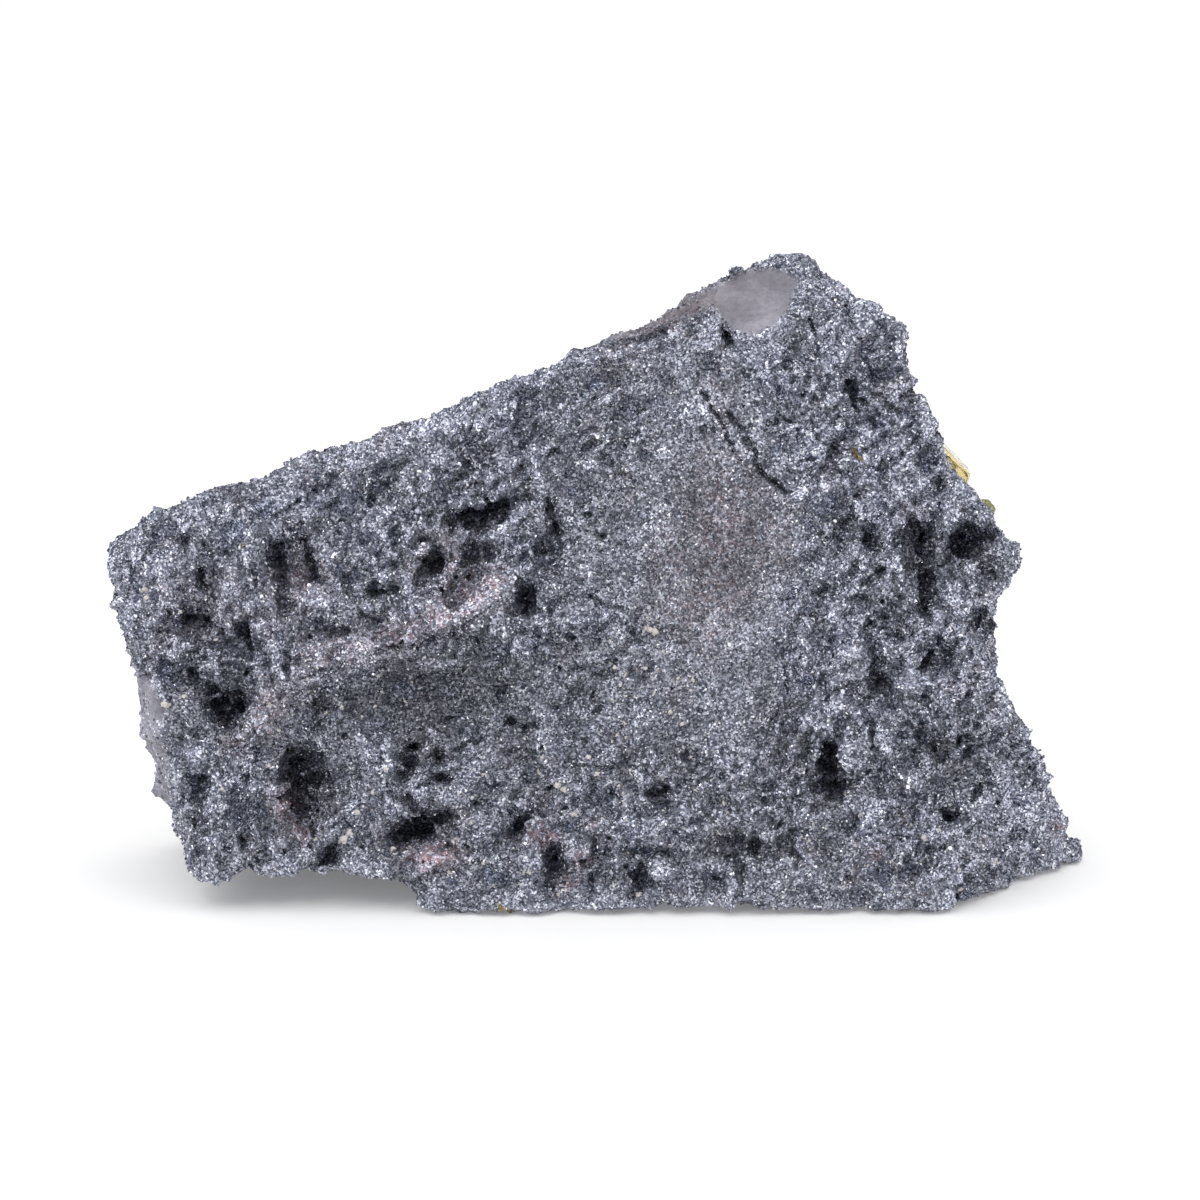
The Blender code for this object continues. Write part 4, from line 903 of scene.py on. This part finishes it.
# painted light, partly the ore's own paler tone: these spots make the skin lighter, and a negative one makes
# it darker
litAndPaleSpots = [
    (6.0, 21.0, 5.0, 10.0, 0, -.18), (14.0, 31.5, 5.5, 4.5, 0, .32), (-22.5, 18.0, 6.0, 6.0, 0, .2),
    (21.5, 6.0, 5.0, 5.0, 0, .1), (13.0, 25.5, 2.6, .9, 32, .3), (17.4, 25.3, 2.4, .8, 20, .3),
    (-14.0, 16.2, 4.0, 1.2, 20, .12), (-7.0, 18.6, 3.0, 1.1, 25, .12), (23.8, 14.0, 1.6, 4.0, 0, .4),
    (26.0, 5.0, 2.6, 4.0, 0, .3), (-27.2, 19.5, 1.4, 3.0, 0, .2), (9.0, 36.4, 2.2, 1.6, 0, .25),
    (-27.4, 10.5, 1.0, 3.5, 0, .6), (-16.0, 27.0, 9.0, .7, 21, .3), (15.4, 36.2, 2.4, 1.4, -30, .2),
    (4.8, 29.0, 2.4, 2.4, 0, .18), (7.2, 17.5, 3.0, 2.2, 0, .2), (3.6, 23.4, 2.0, 1.6, 0, .14),
]
# painted shade over hollows, the trough under the rib and other shaded places, partly the ore's own darker
# tone
shadedAndDarkSpots = [
    (-11.5, 13.2, 5.5, 1.7, 8, .7), (-6.5, 14.6, 1.8, 1.8, 0, .5), (-21.5, 15.0, 4.5, 3.0, 0, .3),
    (21.0, 9.3, 3.2, 2.0, 20, .4), (20.5, 21.5, 3.0, 1.8, 0, .35), (8.5, 4.0, 4.0, .9, 0, .35),
    (-17.5, 7.5, 2.2, 2.6, 0, .35), (-11.0, 5.4, 2.2, 1.0, 25, .4), (15.8, 31.2, 2.4, 1.6, 0, .3),
    (13.7, 8.0, 1.2, 1.8, 0, .4), (17.4, 12.4, 1.0, 3.0, -20, .3), (12.1, 35.8, .8, 1.2, 0, .35),
    (-8.0, 11.6, 5.5, 2.0, 10, .34), (8.4, 22.3, 2.0, 2.6, 0, .2), (11.6, 10.0, 1.3, 2.8, 0, .3),
    (21.5, 11.0, 2.6, 1.4, 0, .2), (10.5, 3.8, 2.4, 1.0, 0, .2), (4.0, 10.3, 2.6, 1.8, 0, .22),
    (-1.0, 14.3, 2.0, 1.8, 0, .2), (12.3, 31.0, 1.5, 2.4, 0, .25), (-0.5, 26.8, 2.2, 3.2, 0, .18),
    (13.8, 23.3, 1.0, 1.1, 0, .25),
]


def sumSpots(across, up, spots, facing):
    total = np.zeros(len(across))
    for spot in spots:
        total += spot[5] * blob(across, up, spot)
    return total * facing


def relaxed(points, edges, rounds):
    # every point moved again and again to the middle of its neighbours
    count = np.bincount(edges.ravel(), minlength=len(points))[:, None]
    for turn in range(rounds):
        total = np.zeros_like(points)
        for axis in range(3):
            total[:, axis] += np.bincount(edges[:, 0], points[edges[:, 1], axis], len(points))
            total[:, axis] += np.bincount(edges[:, 1], points[edges[:, 0], axis], len(points))
        points = 0.4 * points + 0.6 * total / np.maximum(count, 1)
    return points


# Where painted light and painted shade go on the skin, in mm and in shares of the full light
paint = dict(
    relaxRounds=40,
    hollowFrom=0.1,
    hollowDepth=0.4,
    crestHeight=0.25,
    ridgeLight=0.85,
    grooveShade=0.7,
    crestLight=0.3,
    cloudLight=0.42,
    cloudSize=2.2,
    lightRange=(0.48, 1.8),
    fewerInHollows=0.4,
    hiddenGrains=0.35,
)


def paintSkin(skin):
    points = readPoints(skin)
    normals = readNormals(skin)
    across, up = facePlaces(points)
    facing = facingEye(points, normals)
    edges = np.empty(len(skin.data.edges) * 2, np.int32)
    skin.data.edges.foreach_get("vertices", edges)
    calmed = relaxed(points, edges.reshape(-1, 2), paint["relaxRounds"])
    sunk = ((calmed - points) * normals).sum(axis=1)
    hollow = np.clip((sunk - paint["hollowFrom"]) / paint["hollowDepth"], 0.0, 1.0)
    crest = np.clip(-sunk / paint["crestHeight"], 0.0, 1.0)
    patch = panelling(across, up)[0] * facing
    raised, grooved = relief(across, up)
    # painted light and shade: lit and shaded spots, ridges and blades painted lighter, grooves and furrows
    # painted darker, crests painted lighter, all times a random cloud
    light = 1.0 + sumSpots(across, up, litAndPaleSpots, facing) - sumSpots(across, up, shadedAndDarkSpots, facing)
    strokeLight = paint["ridgeLight"] * raised - paint["grooveShade"] * grooved
    light += strokeLight * facing + paint["crestLight"] * crest
    size = paint["cloudSize"]
    light *= [1.0 + paint["cloudLight"] * noise.noise((a / size, b / size, 7.0)) for a, b in zip(across, up)]
    writeAttribute(skin, "hollow", hollow)
    writeAttribute(skin, "warm", np.clip(sumSpots(across, up, warmSpots, facing), 0.0, 1.0))
    writeAttribute(skin, "light", np.clip(light, *paint["lightRange"]))
    writeAttribute(skin, "patch", patch)
    inSight = paint["hiddenGrains"] + (1.0 - paint["hiddenGrains"]) * (facing > view["seen"])
    grainShare = (1.0 - patch) * (1.0 - paint["fewerInHollows"] * hollow) * inSight
    writeAttribute(skin, "grainShare", grainShare)


paintSkin(skin)
print("skin painted")


# Node groups that the ore's materials share
def newGroup(name, inputs, outputs):
    group = bpy.data.node_groups.new(name, "ShaderNodeTree")
    for label, kind, value in inputs:
        socket = group.interface.new_socket(name=label, in_out="INPUT", socket_type=kind)
        if value is not None:
            socket.default_value = value
    for label, kind in outputs:
        group.interface.new_socket(name=label, in_out="OUTPUT", socket_type=kind)
    start = group.nodes.new("NodeGroupInput")
    end = group.nodes.new("NodeGroupOutput")
    return group, start, end


def mathNode(tree, operation, first, second, clamp=False):
    node = addNode(tree, "ShaderNodeMath", operation=operation, use_clamp=clamp)
    tree.links.new(first, node.inputs[0])
    if isinstance(second, (int, float)):
        node.inputs[1].default_value = second
    else:
        tree.links.new(second, node.inputs[1])
    return node.outputs[0]


def vectorNode(tree, operation, first, second=None, scale=None):
    node = addNode(tree, "ShaderNodeVectorMath", operation=operation)
    tree.links.new(first, node.inputs[0])
    if second is not None:
        if isinstance(second, tuple):
            node.inputs[1].default_value = second
        else:
            tree.links.new(second, node.inputs[1])
    if scale is not None:
        tree.links.new(scale, node.inputs["Scale"])
    return node.outputs[0]


def mixColour(tree, factor, first, second):
    node = addNode(tree, "ShaderNodeMix", data_type="RGBA")
    sockets = [socket for socket in node.inputs if socket.type == "RGBA"]
    tree.links.new(factor, node.inputs["Factor"])
    for socket, value in zip(sockets, (first, second)):
        if isinstance(value, tuple):
            socket.default_value = (*value, 1.0)
        else:
            tree.links.new(value, socket)
    return [socket for socket in node.outputs if socket.type == "RGBA"][0]


def attribute(tree, name):
    return addNode(tree, "ShaderNodeAttribute", attribute_name=name).outputs["Fac"]


def sparkleGroup():
    # small flat crystal faces: each cell has its own tilt, tone and gloss
    inputs = [("Vector", "NodeSocketVector", None), ("Scale", "NodeSocketFloat", 5000.0),
              ("Tilt", "NodeSocketFloat", 0.6)]
    outputs = [("Normal", "NodeSocketVector"), ("Tone", "NodeSocketFloat"), ("Gloss", "NodeSocketFloat")]
    group, start, end = newGroup("sparkle", inputs, outputs)
    cells = addNode(group, "ShaderNodeTexVoronoi", feature="F1")
    group.links.new(start.outputs["Vector"], cells.inputs["Vector"])
    group.links.new(start.outputs["Scale"], cells.inputs["Scale"])
    centred = vectorNode(group, "SUBTRACT", cells.outputs["Color"], (0.5, 0.5, 0.5))
    tilted = vectorNode(group, "SCALE", centred, scale=start.outputs["Tilt"])
    geometry = addNode(group, "ShaderNodeNewGeometry")
    leaning = vectorNode(group, "ADD", geometry.outputs["Normal"], tilted)
    group.links.new(vectorNode(group, "NORMALIZE", leaning), end.inputs["Normal"])
    split = addNode(group, "ShaderNodeSeparateColor")
    group.links.new(cells.outputs["Color"], split.inputs[0])
    group.links.new(split.outputs[0], end.inputs["Tone"])
    group.links.new(split.outputs[1], end.inputs["Gloss"])
    return group


def tintGroup():
    # the ore's colour from its tone and how warm the place is, times its painted light and shade, with
    # painted fill light in hollows and the brightest cells painted near white as glints
    inputs = [("Tone", "NodeSocketFloat", 0.5), ("Warm", "NodeSocketFloat", 0.0),
              ("Light", "NodeSocketFloat", 1.0), ("Hollow", "NodeSocketFloat", 0.0),
              ("Vector", "NodeSocketVector", None)]
    group, start, end = newGroup("oreTint", inputs, [("Color", "NodeSocketColor")])
    mostlyDark = mathNode(group, "POWER", start.outputs["Tone"], 2.4)
    base = mixColour(group, mostlyDark, (0.060, 0.069, 0.094), (0.65, 0.66, 0.76))
    # painted glints: cells of the highest tone are painted near white
    glint = mathNode(group, "GREATER_THAN", start.outputs["Tone"], 0.975)
    base = mixColour(group, glint, base, (0.97, 0.97, 1.0))
    patches = addNode(group, "ShaderNodeTexNoise", Scale=420.0, Detail=4.0, Roughness=0.6)
    group.links.new(start.outputs["Vector"], patches.inputs["Vector"])
    speckle = addNode(group, "ShaderNodeTexNoise", Scale=2600.0, Detail=2.0)
    group.links.new(start.outputs["Vector"], speckle.inputs["Vector"])
    rust = mathNode(group, "MULTIPLY_ADD", patches.outputs[0], 2.6)
    rust.node.inputs[2].default_value = -1.25
    rust.node.use_clamp = True
    speck = mathNode(group, "MULTIPLY_ADD", speckle.outputs[0], 4.0)
    speck.node.inputs[2].default_value = -1.4
    speck.node.use_clamp = True
    warmth = mathNode(group, "MULTIPLY_ADD", rust, 0.40)
    group.links.new(start.outputs["Warm"], warmth.node.inputs[2])
    warmth = mathNode(group, "MULTIPLY", warmth, speck, clamp=True)
    warmed = mixColour(group, mathNode(group, "MULTIPLY", warmth, 0.75), base, (0.225, 0.13, 0.13))
    # painted fill light: hollows are painted up to 40% lighter and bluer, to lift the shade that falls in
    # them
    hollowFill = mixColour(group, start.outputs["Hollow"], (1.0, 1.0, 1.0), (1.24, 1.30, 1.40))
    hollowFilled = vectorNode(group, "MULTIPLY", warmed, hollowFill)
    clouds = addNode(group, "ShaderNodeTexNoise", Scale=850.0, Detail=4.0, Roughness=0.65)
    group.links.new(start.outputs["Vector"], clouds.inputs["Vector"])
    shade = mathNode(group, "MULTIPLY_ADD", clouds.outputs[0], 2.4)
    shade.node.inputs[2].default_value = -0.1
    lit = vectorNode(group, "SCALE", hollowFilled, scale=mathNode(group, "MULTIPLY", shade, start.outputs["Light"]))
    group.links.new(lit, end.inputs["Color"])
    return group


ore = dict(
    metallic=0.5,
    faceScale=9500.0,       # crystal faces to the metre on the skin
    faceTilt=1.0,
    gloss=(0.12, 0.5),
)
sparkle = sparkleGroup()
tint = tintGroup()


def glossRange(tree, value, low, high):
    node = addNode(tree, "ShaderNodeMapRange")
    tree.links.new(value, node.inputs["Value"])
    node.inputs["To Min"].default_value = low
    node.inputs["To Max"].default_value = high
    return node.outputs[0]


def oreSkinMaterial():
    material, tree, shader = finish("hematiteDruse", (0.12, 0.13, 0.155), 0.4, ore["metallic"])
    place = addNode(tree, "ShaderNodeTexCoord").outputs["Object"]
    cells = addNode(tree, "ShaderNodeGroup", node_tree=sparkle, Scale=ore["faceScale"], Tilt=ore["faceTilt"])
    tree.links.new(place, cells.inputs["Vector"])
    colour = addNode(tree, "ShaderNodeGroup", node_tree=tint)
    tree.links.new(cells.outputs["Tone"], colour.inputs["Tone"])
    tree.links.new(place, colour.inputs["Vector"])
    for label, name in (("Warm", "warm"), ("Light", "light"), ("Hollow", "hollow")):
        tree.links.new(attribute(tree, name), colour.inputs[label])
    patch = attribute(tree, "patch")
    flecks = addNode(tree, "ShaderNodeTexNoise", Scale=2600.0, Detail=5.0, Roughness=0.75)
    tree.links.new(place, flecks.inputs["Vector"])
    patchTone = mixColour(tree, flecks.outputs[0], (0.065, 0.061, 0.075), (0.275, 0.264, 0.308))
    patchTone = mixColour(tree, attribute(tree, "warm"), patchTone, (0.135, 0.105, 0.105))
    # the smooth patch takes the same painted light and painted shade as the rest of the skin
    patchTone = vectorNode(tree, "SCALE", patchTone, scale=attribute(tree, "light"))
    tree.links.new(mixColour(tree, patch, colour.outputs[0], patchTone), shader.inputs["Base Color"])
    rough = glossRange(tree, cells.outputs["Gloss"], *ore["gloss"])
    calmRough = mathNode(tree, "MULTIPLY_ADD", patch, 0.35)
    tree.links.new(rough, calmRough.node.inputs[2])
    tree.links.new(mathNode(tree, "MINIMUM", calmRough, 0.75), shader.inputs["Roughness"])
    metal = mathNode(tree, "MULTIPLY_ADD", patch, -0.5)
    metal.node.inputs[2].default_value = ore["metallic"]
    tree.links.new(metal, shader.inputs["Metallic"])
    bump = addNode(tree, "ShaderNodeBump", Strength=0.35, Distance=0.00006)
    tree.links.new(flecks.outputs[0], bump.inputs["Height"])
    flat = addNode(tree, "ShaderNodeMix", data_type="VECTOR")
    factor, first, second = [socket for socket in flat.inputs if socket.enabled]
    tree.links.new(patch, factor)
    tree.links.new(cells.outputs["Normal"], first)
    tree.links.new(bump.outputs[0], second)
    tree.links.new([socket for socket in flat.outputs if socket.enabled][0], shader.inputs["Normal"])
    return material


def grainMaterial():
    material, tree, shader = finish("hematiteGrains", (0.14, 0.15, 0.18), 0.25, ore["metallic"])
    place = addNode(tree, "ShaderNodeTexCoord").outputs["Object"]
    colour = addNode(tree, "ShaderNodeGroup", node_tree=tint)
    tree.links.new(place, colour.inputs["Vector"])
    pairs = (("Tone", "grainTone"), ("Warm", "warm"), ("Light", "light"), ("Hollow", "hollow"))
    for label, name in pairs:
        tree.links.new(attribute(tree, name), colour.inputs[label])
    tree.links.new(colour.outputs[0], shader.inputs["Base Color"])
    tree.links.new(glossRange(tree, attribute(tree, "grainGloss"), 0.12, 0.45), shader.inputs["Roughness"])
    return material


skin.data.materials.clear()
skin.data.materials.append(oreSkinMaterial())
skin.data.polygons.foreach_set("material_index", np.zeros(len(skin.data.polygons), np.int32))
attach(skin, "root")
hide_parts("matrix")

# Loose-standing grains: how many of each kind on the side in view and on the rest, sizes in mm
grains = dict(
    rhombs=dict(radius=(0.06, 0.14), front=(23765, 23765), rest=23765),
    plates=dict(radius=(0.06, 0.15), front=(9603,), rest=9603),
)


def rhombShape():
    bpy.ops.object.select_all(action="DESELECT")
    bpy.ops.mesh.primitive_cone_add(vertices=4, radius1=mm, depth=0.7 * mm, end_fill_type="NOTHING",
                                    location=(0, 0, 0.35 * mm))
    bpy.ops.object.transform_apply(location=True, rotation=True, scale=True)
    shape = bpy.context.object
    applyModifier(shape, "MIRROR", use_axis=(False, False, True), merge_threshold=0.01 * mm)
    shape.data.transform(Matrix.Diagonal((1.0, 0.85, 1.0, 1.0)))
    return shape


def plateShape():
    bpy.ops.object.select_all(action="DESELECT")
    bpy.ops.mesh.primitive_cylinder_add(vertices=6, radius=mm, depth=0.5 * mm, end_fill_type="NGON")
    shape = bpy.context.object
    bpy.ops.object.mode_set(mode="EDIT")
    bpy.ops.mesh.select_all(action="DESELECT")
    bpy.ops.object.mode_set(mode="OBJECT")
    for face in shape.data.polygons:
        face.select = face.normal.z > 0.9
    bpy.ops.object.mode_set(mode="EDIT")
    bpy.ops.transform.resize(value=(0.72, 0.72, 1.0))
    bpy.ops.object.mode_set(mode="OBJECT")
    return shape


def scatterTree(name, shape, density, radius, seed):
    tree = bpy.data.node_groups.new(name, "GeometryNodeTree")
    tree.interface.new_socket(name="Geometry", in_out="INPUT", socket_type="NodeSocketGeometry")
    tree.interface.new_socket(name="Geometry", in_out="OUTPUT", socket_type="NodeSocketGeometry")
    start = tree.nodes.new("NodeGroupInput")
    end = tree.nodes.new("NodeGroupOutput")
    share = addNode(tree, "GeometryNodeInputNamedAttribute", data_type="FLOAT", Name="share")
    amount = mathNode(tree, "MULTIPLY", share.outputs["Attribute"], density)
    spread = addNode(tree, "GeometryNodeDistributePointsOnFaces", distribute_method="RANDOM", Seed=seed)
    tree.links.new(start.outputs[0], spread.inputs["Mesh"])
    tree.links.new(amount, spread.inputs["Density"])
    points = spread.outputs["Points"]
    for number, label in enumerate(("grainTone", "grainGloss")):
        dice = addNode(tree, "FunctionNodeRandomValue", data_type="FLOAT", Seed=seed + 5 + number)
        keep = addNode(tree, "GeometryNodeStoreNamedAttribute", data_type="FLOAT", domain="POINT", Name=label)
        tree.links.new(points, keep.inputs["Geometry"])
        value = [socket for socket in keep.inputs if socket.name == "Value" and socket.enabled][0]
        tree.links.new([socket for socket in dice.outputs if socket.enabled][0], value)
        points = keep.outputs[0]
    turn = addNode(tree, "FunctionNodeRandomValue", data_type="FLOAT_VECTOR", Seed=seed + 1)
    turn.inputs["Max"].default_value = (math.tau, math.tau, math.tau)
    size = addNode(tree, "FunctionNodeRandomValue", data_type="FLOAT", Seed=seed + 2)
    sizeInputs = [socket for socket in size.inputs if socket.enabled and socket.name in ("Min", "Max")]
    sizeInputs[0].default_value, sizeInputs[1].default_value = radius
    info = addNode(tree, "GeometryNodeObjectInfo", Object=shape)
    place = addNode(tree, "GeometryNodeInstanceOnPoints")
    tree.links.new(points, place.inputs["Points"])
    tree.links.new(info.outputs["Geometry"], place.inputs["Instance"])
    tree.links.new([socket for socket in turn.outputs if socket.enabled][0], place.inputs["Rotation"])
    tree.links.new([socket for socket in size.outputs if socket.enabled][0], place.inputs["Scale"])
    realize = addNode(tree, "GeometryNodeRealizeInstances")
    tree.links.new(place.outputs[0], realize.inputs[0])
    tree.links.new(realize.outputs[0], end.inputs[0])
    return tree


def scatter(name, shape, count, radius, inView, seed, material):
    piece = bpy.data.objects.new(name, skin.data.copy())
    bpy.context.scene.collection.objects.link(piece)
    points = readPoints(piece)
    facing = facingEye(points, readNormals(piece)) > view["seen"]
    share = np.empty(len(points), np.float32)
    piece.data.attributes["grainShare"].data.foreach_get("value", share)
    share *= facing if inView else ~facing
    share[points[:, 2] < 0.35] = 0.0
    writeAttribute(piece, "share", share)
    corners = np.empty(len(piece.data.polygons) * 3, np.int32)
    piece.data.polygons.foreach_get("vertices", corners)
    areas = np.empty(len(piece.data.polygons))
    piece.data.polygons.foreach_get("area", areas)
    covered = (areas * share[corners.reshape(-1, 3)].mean(axis=1)).sum()
    makeActive(piece)
    modifier = piece.modifiers.new("scatter", "NODES")
    modifier.node_group = scatterTree(name, shape, count / covered, radius, seed)
    bpy.ops.object.modifier_apply(modifier=modifier.name)
    for label in ("share", "grainShare", "patch"):
        if label in piece.data.attributes:
            piece.data.attributes.remove(piece.data.attributes[label])
    piece.data.materials.clear()
    piece.data.materials.append(material)
    keepInBox(piece)
    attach(piece, "root")
    print(f"{name} {len(piece.data.polygons)} faces")


def scatterAll():
    material = grainMaterial()
    seed = 20
    for kind, makeShape in (("rhombs", rhombShape), ("plates", plateShape)):
        settings = grains[kind]
        shape = makeShape()
        for number, count in enumerate(settings["front"]):
            seed += 10
            scatter(f"{kind}Front{number + 1}", shape, count, settings["radius"], True, seed, material)
        seed += 10
        scatter(f"{kind}Rest", shape, settings["rest"], settings["radius"], False, seed, material)
        bpy.data.objects.remove(shape, do_unlink=True)


scatterAll()

# Pale and golden grains: across, up, size in mm
paleGrains = [
    (-27.1, 19.5, .28), (-27.0, 19.0, .26), (-25.0, 18.15, .2), (-22.9, 16.5, .24), (-25.95, 12.65, .4),
    (-24.8, 13.1, .28), (-19.8, 9.0, .22), (-19.2, 11.1, .24), (-15.3, 4.6, .5), (-15.0, 5.0, .36),
    (-22.6, 7.6, .2), (-12.8, 8.8, .26), (-14.5, 6.2, .24), (-12.4, 4.0, .3), (3.3, 17.0, .42),
    (3.0, 17.1, .3), (2.7, 17.2, .3), (1.8, 15.9, .2), (2.7, 14.8, .2), (1.5, 14.4, .2), (4.2, 12.2, .22),
    (4.9, 11.5, .2), (5.0, 10.1, .2), (-0.7, 9.5, .26), (-0.2, 8.5, .24), (-2.5, 7.9, .4), (-2.2, 7.6, .3),
    (-1.6, 6.1, .26), (7.4, 6.8, .24), (19.4, 4.7, .3), (20.3, 5.1, .28), (23.7, 3.3, .3), (21.5, 2.8, .26),
    (21.6, 1.6, .3), (2.3, 1.2, .26), (-9.0, 2.6, .24), (-10.6, 3.2, .22), (-11.4, 4.1, .2),
    (-8.8, 4.4, .22), (-13.6, 7.4, .2), (-17.0, 4.6, .2),
]
goldGrains = [
    (15.2, 27.5, .34), (15.45, 27.2, .26), (15.0, 27.7, .22), (-8.8, 19.7, .2), (-5.9, 0.35, .34),
    (-5.4, 0.3, .26), (-21.2, 22.1, .2), (26.2, 2.2, .34), (26.7, 2.3, .24),
]

# Small pale grains strewn over the lower part and along the big rib: across, up, half width, half height,
# and how many
strewn = [
    ((-2.0, 6.0, 12.0, 5.0), 70), ((-16.0, 14.0, 5.0, 2.5), 26), ((18.0, 4.5, 6.0, 3.5), 30),
    ((3.0, 14.5, 3.0, 4.0), 24),
]


def strewPale():
    dice = random.Random(8)
    places = []
    for spot, count in strewn:
        places += [(*inSpot(dice, spot), dice.uniform(0.09, 0.19)) for number in range(count)]
    return places


def addGrains(name, places, seed, material):
    # each place gets one grain and two smaller ones beside it
    dice = random.Random(seed)
    tree = skinTree(skin)
    pieces = []
    ball = makeBall(1)
    for across, up, size in places:
        for number in range(3):
            part = size * (0.75, 0.5, 0.4)[number]
            x = across + (0.6 * size * dice.uniform(-1, 1) if number else 0.0)
            z = up + (0.6 * size * dice.uniform(-1, 1) if number else 0.0)
            hit, normal = onSkin(tree, x, z)
            if hit is None:
                continue
            grain = copyBall(ball, "grain")
            turn = Matrix.Rotation(dice.uniform(0, math.tau), 4, (dice.random(), dice.random(), 0.3))
            wide, tall = part * dice.uniform(0.5, 0.9), part * dice.uniform(0.5, 1.0)
            stretch = Matrix.Diagonal((part, wide, tall, 1.0))
            seat = Matrix.Translation(hit + normal * 0.1 * part * mm)
            grain.data.transform(seat @ turn @ Matrix.Scale(mm, 4) @ stretch)
            pieces.append(grain)
    bpy.data.objects.remove(ball, do_unlink=True)
    whole = joinAll(pieces, name)
    keepInBox(whole)
    whole.data.materials.append(material)
    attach(whole, "root")


def paleMaterial():
    material, tree, shader = finish("paleGrains", (0.72, 0.69, 0.67), 0.3, 0.0)
    place = addNode(tree, "ShaderNodeTexCoord").outputs["Object"]
    cloud = addNode(tree, "ShaderNodeTexNoise", Scale=2500.0, Detail=3.0)
    tree.links.new(place, cloud.inputs["Vector"])
    shade = mixColour(tree, cloud.outputs[0], (0.34, 0.31, 0.31), (0.78, 0.75, 0.73))
    tree.links.new(shade, shader.inputs["Base Color"])
    shader.inputs["Subsurface Weight"].default_value = 0.25
    shader.inputs["Subsurface Radius"].default_value = (0.0004, 0.0003, 0.0002)
    return material


def honeyMaterial(name, deep, pale):
    material, tree, shader = finish(name, pale, 0.1, 0.0)
    place = addNode(tree, "ShaderNodeTexCoord").outputs["Object"]
    cloud = addNode(tree, "ShaderNodeTexNoise", Scale=350.0, Detail=4.0, Roughness=0.6)
    tree.links.new(place, cloud.inputs["Vector"])
    tree.links.new(mixColour(tree, cloud.outputs[0], deep, pale), shader.inputs["Base Color"])
    steps = addNode(tree, "ShaderNodeTexNoise", Scale=1800.0, Detail=3.0)
    tree.links.new(place, steps.inputs["Vector"])
    bump = addNode(tree, "ShaderNodeBump", Strength=0.25, Distance=0.00005)
    tree.links.new(steps.outputs[0], bump.inputs["Height"])
    tree.links.new(bump.outputs[0], shader.inputs["Normal"])
    shader.inputs["IOR"].default_value = 1.5
    shader.inputs["Transmission Weight"].default_value = 0.8
    shader.inputs["Subsurface Weight"].default_value = 0.5
    shader.inputs["Subsurface Radius"].default_value = (0.004, 0.0028, 0.0014)
    return material


honey = honeyMaterial("honeySturmanite", (1.0, 0.70, 0.27), (1.0, 0.90, 0.55))
greenish = honeyMaterial("greenYellowSturmanite", (0.76, 0.80, 0.20), (0.96, 0.96, 0.46))
tan = honeyMaterial("tanSturmanite", (0.52, 0.36, 0.15), (0.80, 0.62, 0.34))
addGrains("paleGrains", paleGrains + strewPale(), 3, paleMaterial())
addGrains("goldGrains", goldGrains, 4, tan)

# Finish of the crystals, all in mm: they swell a little, with fine growth steps
crystals = dict(
    voxel=0.09,
    swell=0.05,
    stepHeight=0.04,
    stepSize=0.7,
    keepShare=0.3,
)


def buildCrystals(node, name, material, rounds):
    piece = copyNode(node, name)
    applyModifier(piece, "REMESH", mode="VOXEL", voxel_size=crystals["voxel"] * mm)
    applyModifier(piece, "SMOOTH", factor=0.5, iterations=rounds)
    points = readPoints(piece)
    normals = readNormals(piece)
    steps = [noise.fractal(Vector(point) / crystals["stepSize"], 1.0, 2.0, 3) for point in points]
    swell = crystals["swell"] + crystals["stepHeight"] * np.array(steps)[:, None]
    writePoints(piece, points + normals * swell)
    applyModifier(piece, "DECIMATE", ratio=crystals["keepShare"])
    makeActive(piece)
    bpy.ops.object.shade_smooth()
    keepInBox(piece)
    piece.data.materials.append(material)
    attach(piece, "root")
    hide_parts(node)


buildCrystals("sturmanite_main", "honeyCrystals", honey, 10)
buildCrystals("sturmanite_small", "greenYellowCrystals", greenish, 3)
print("crystals done")
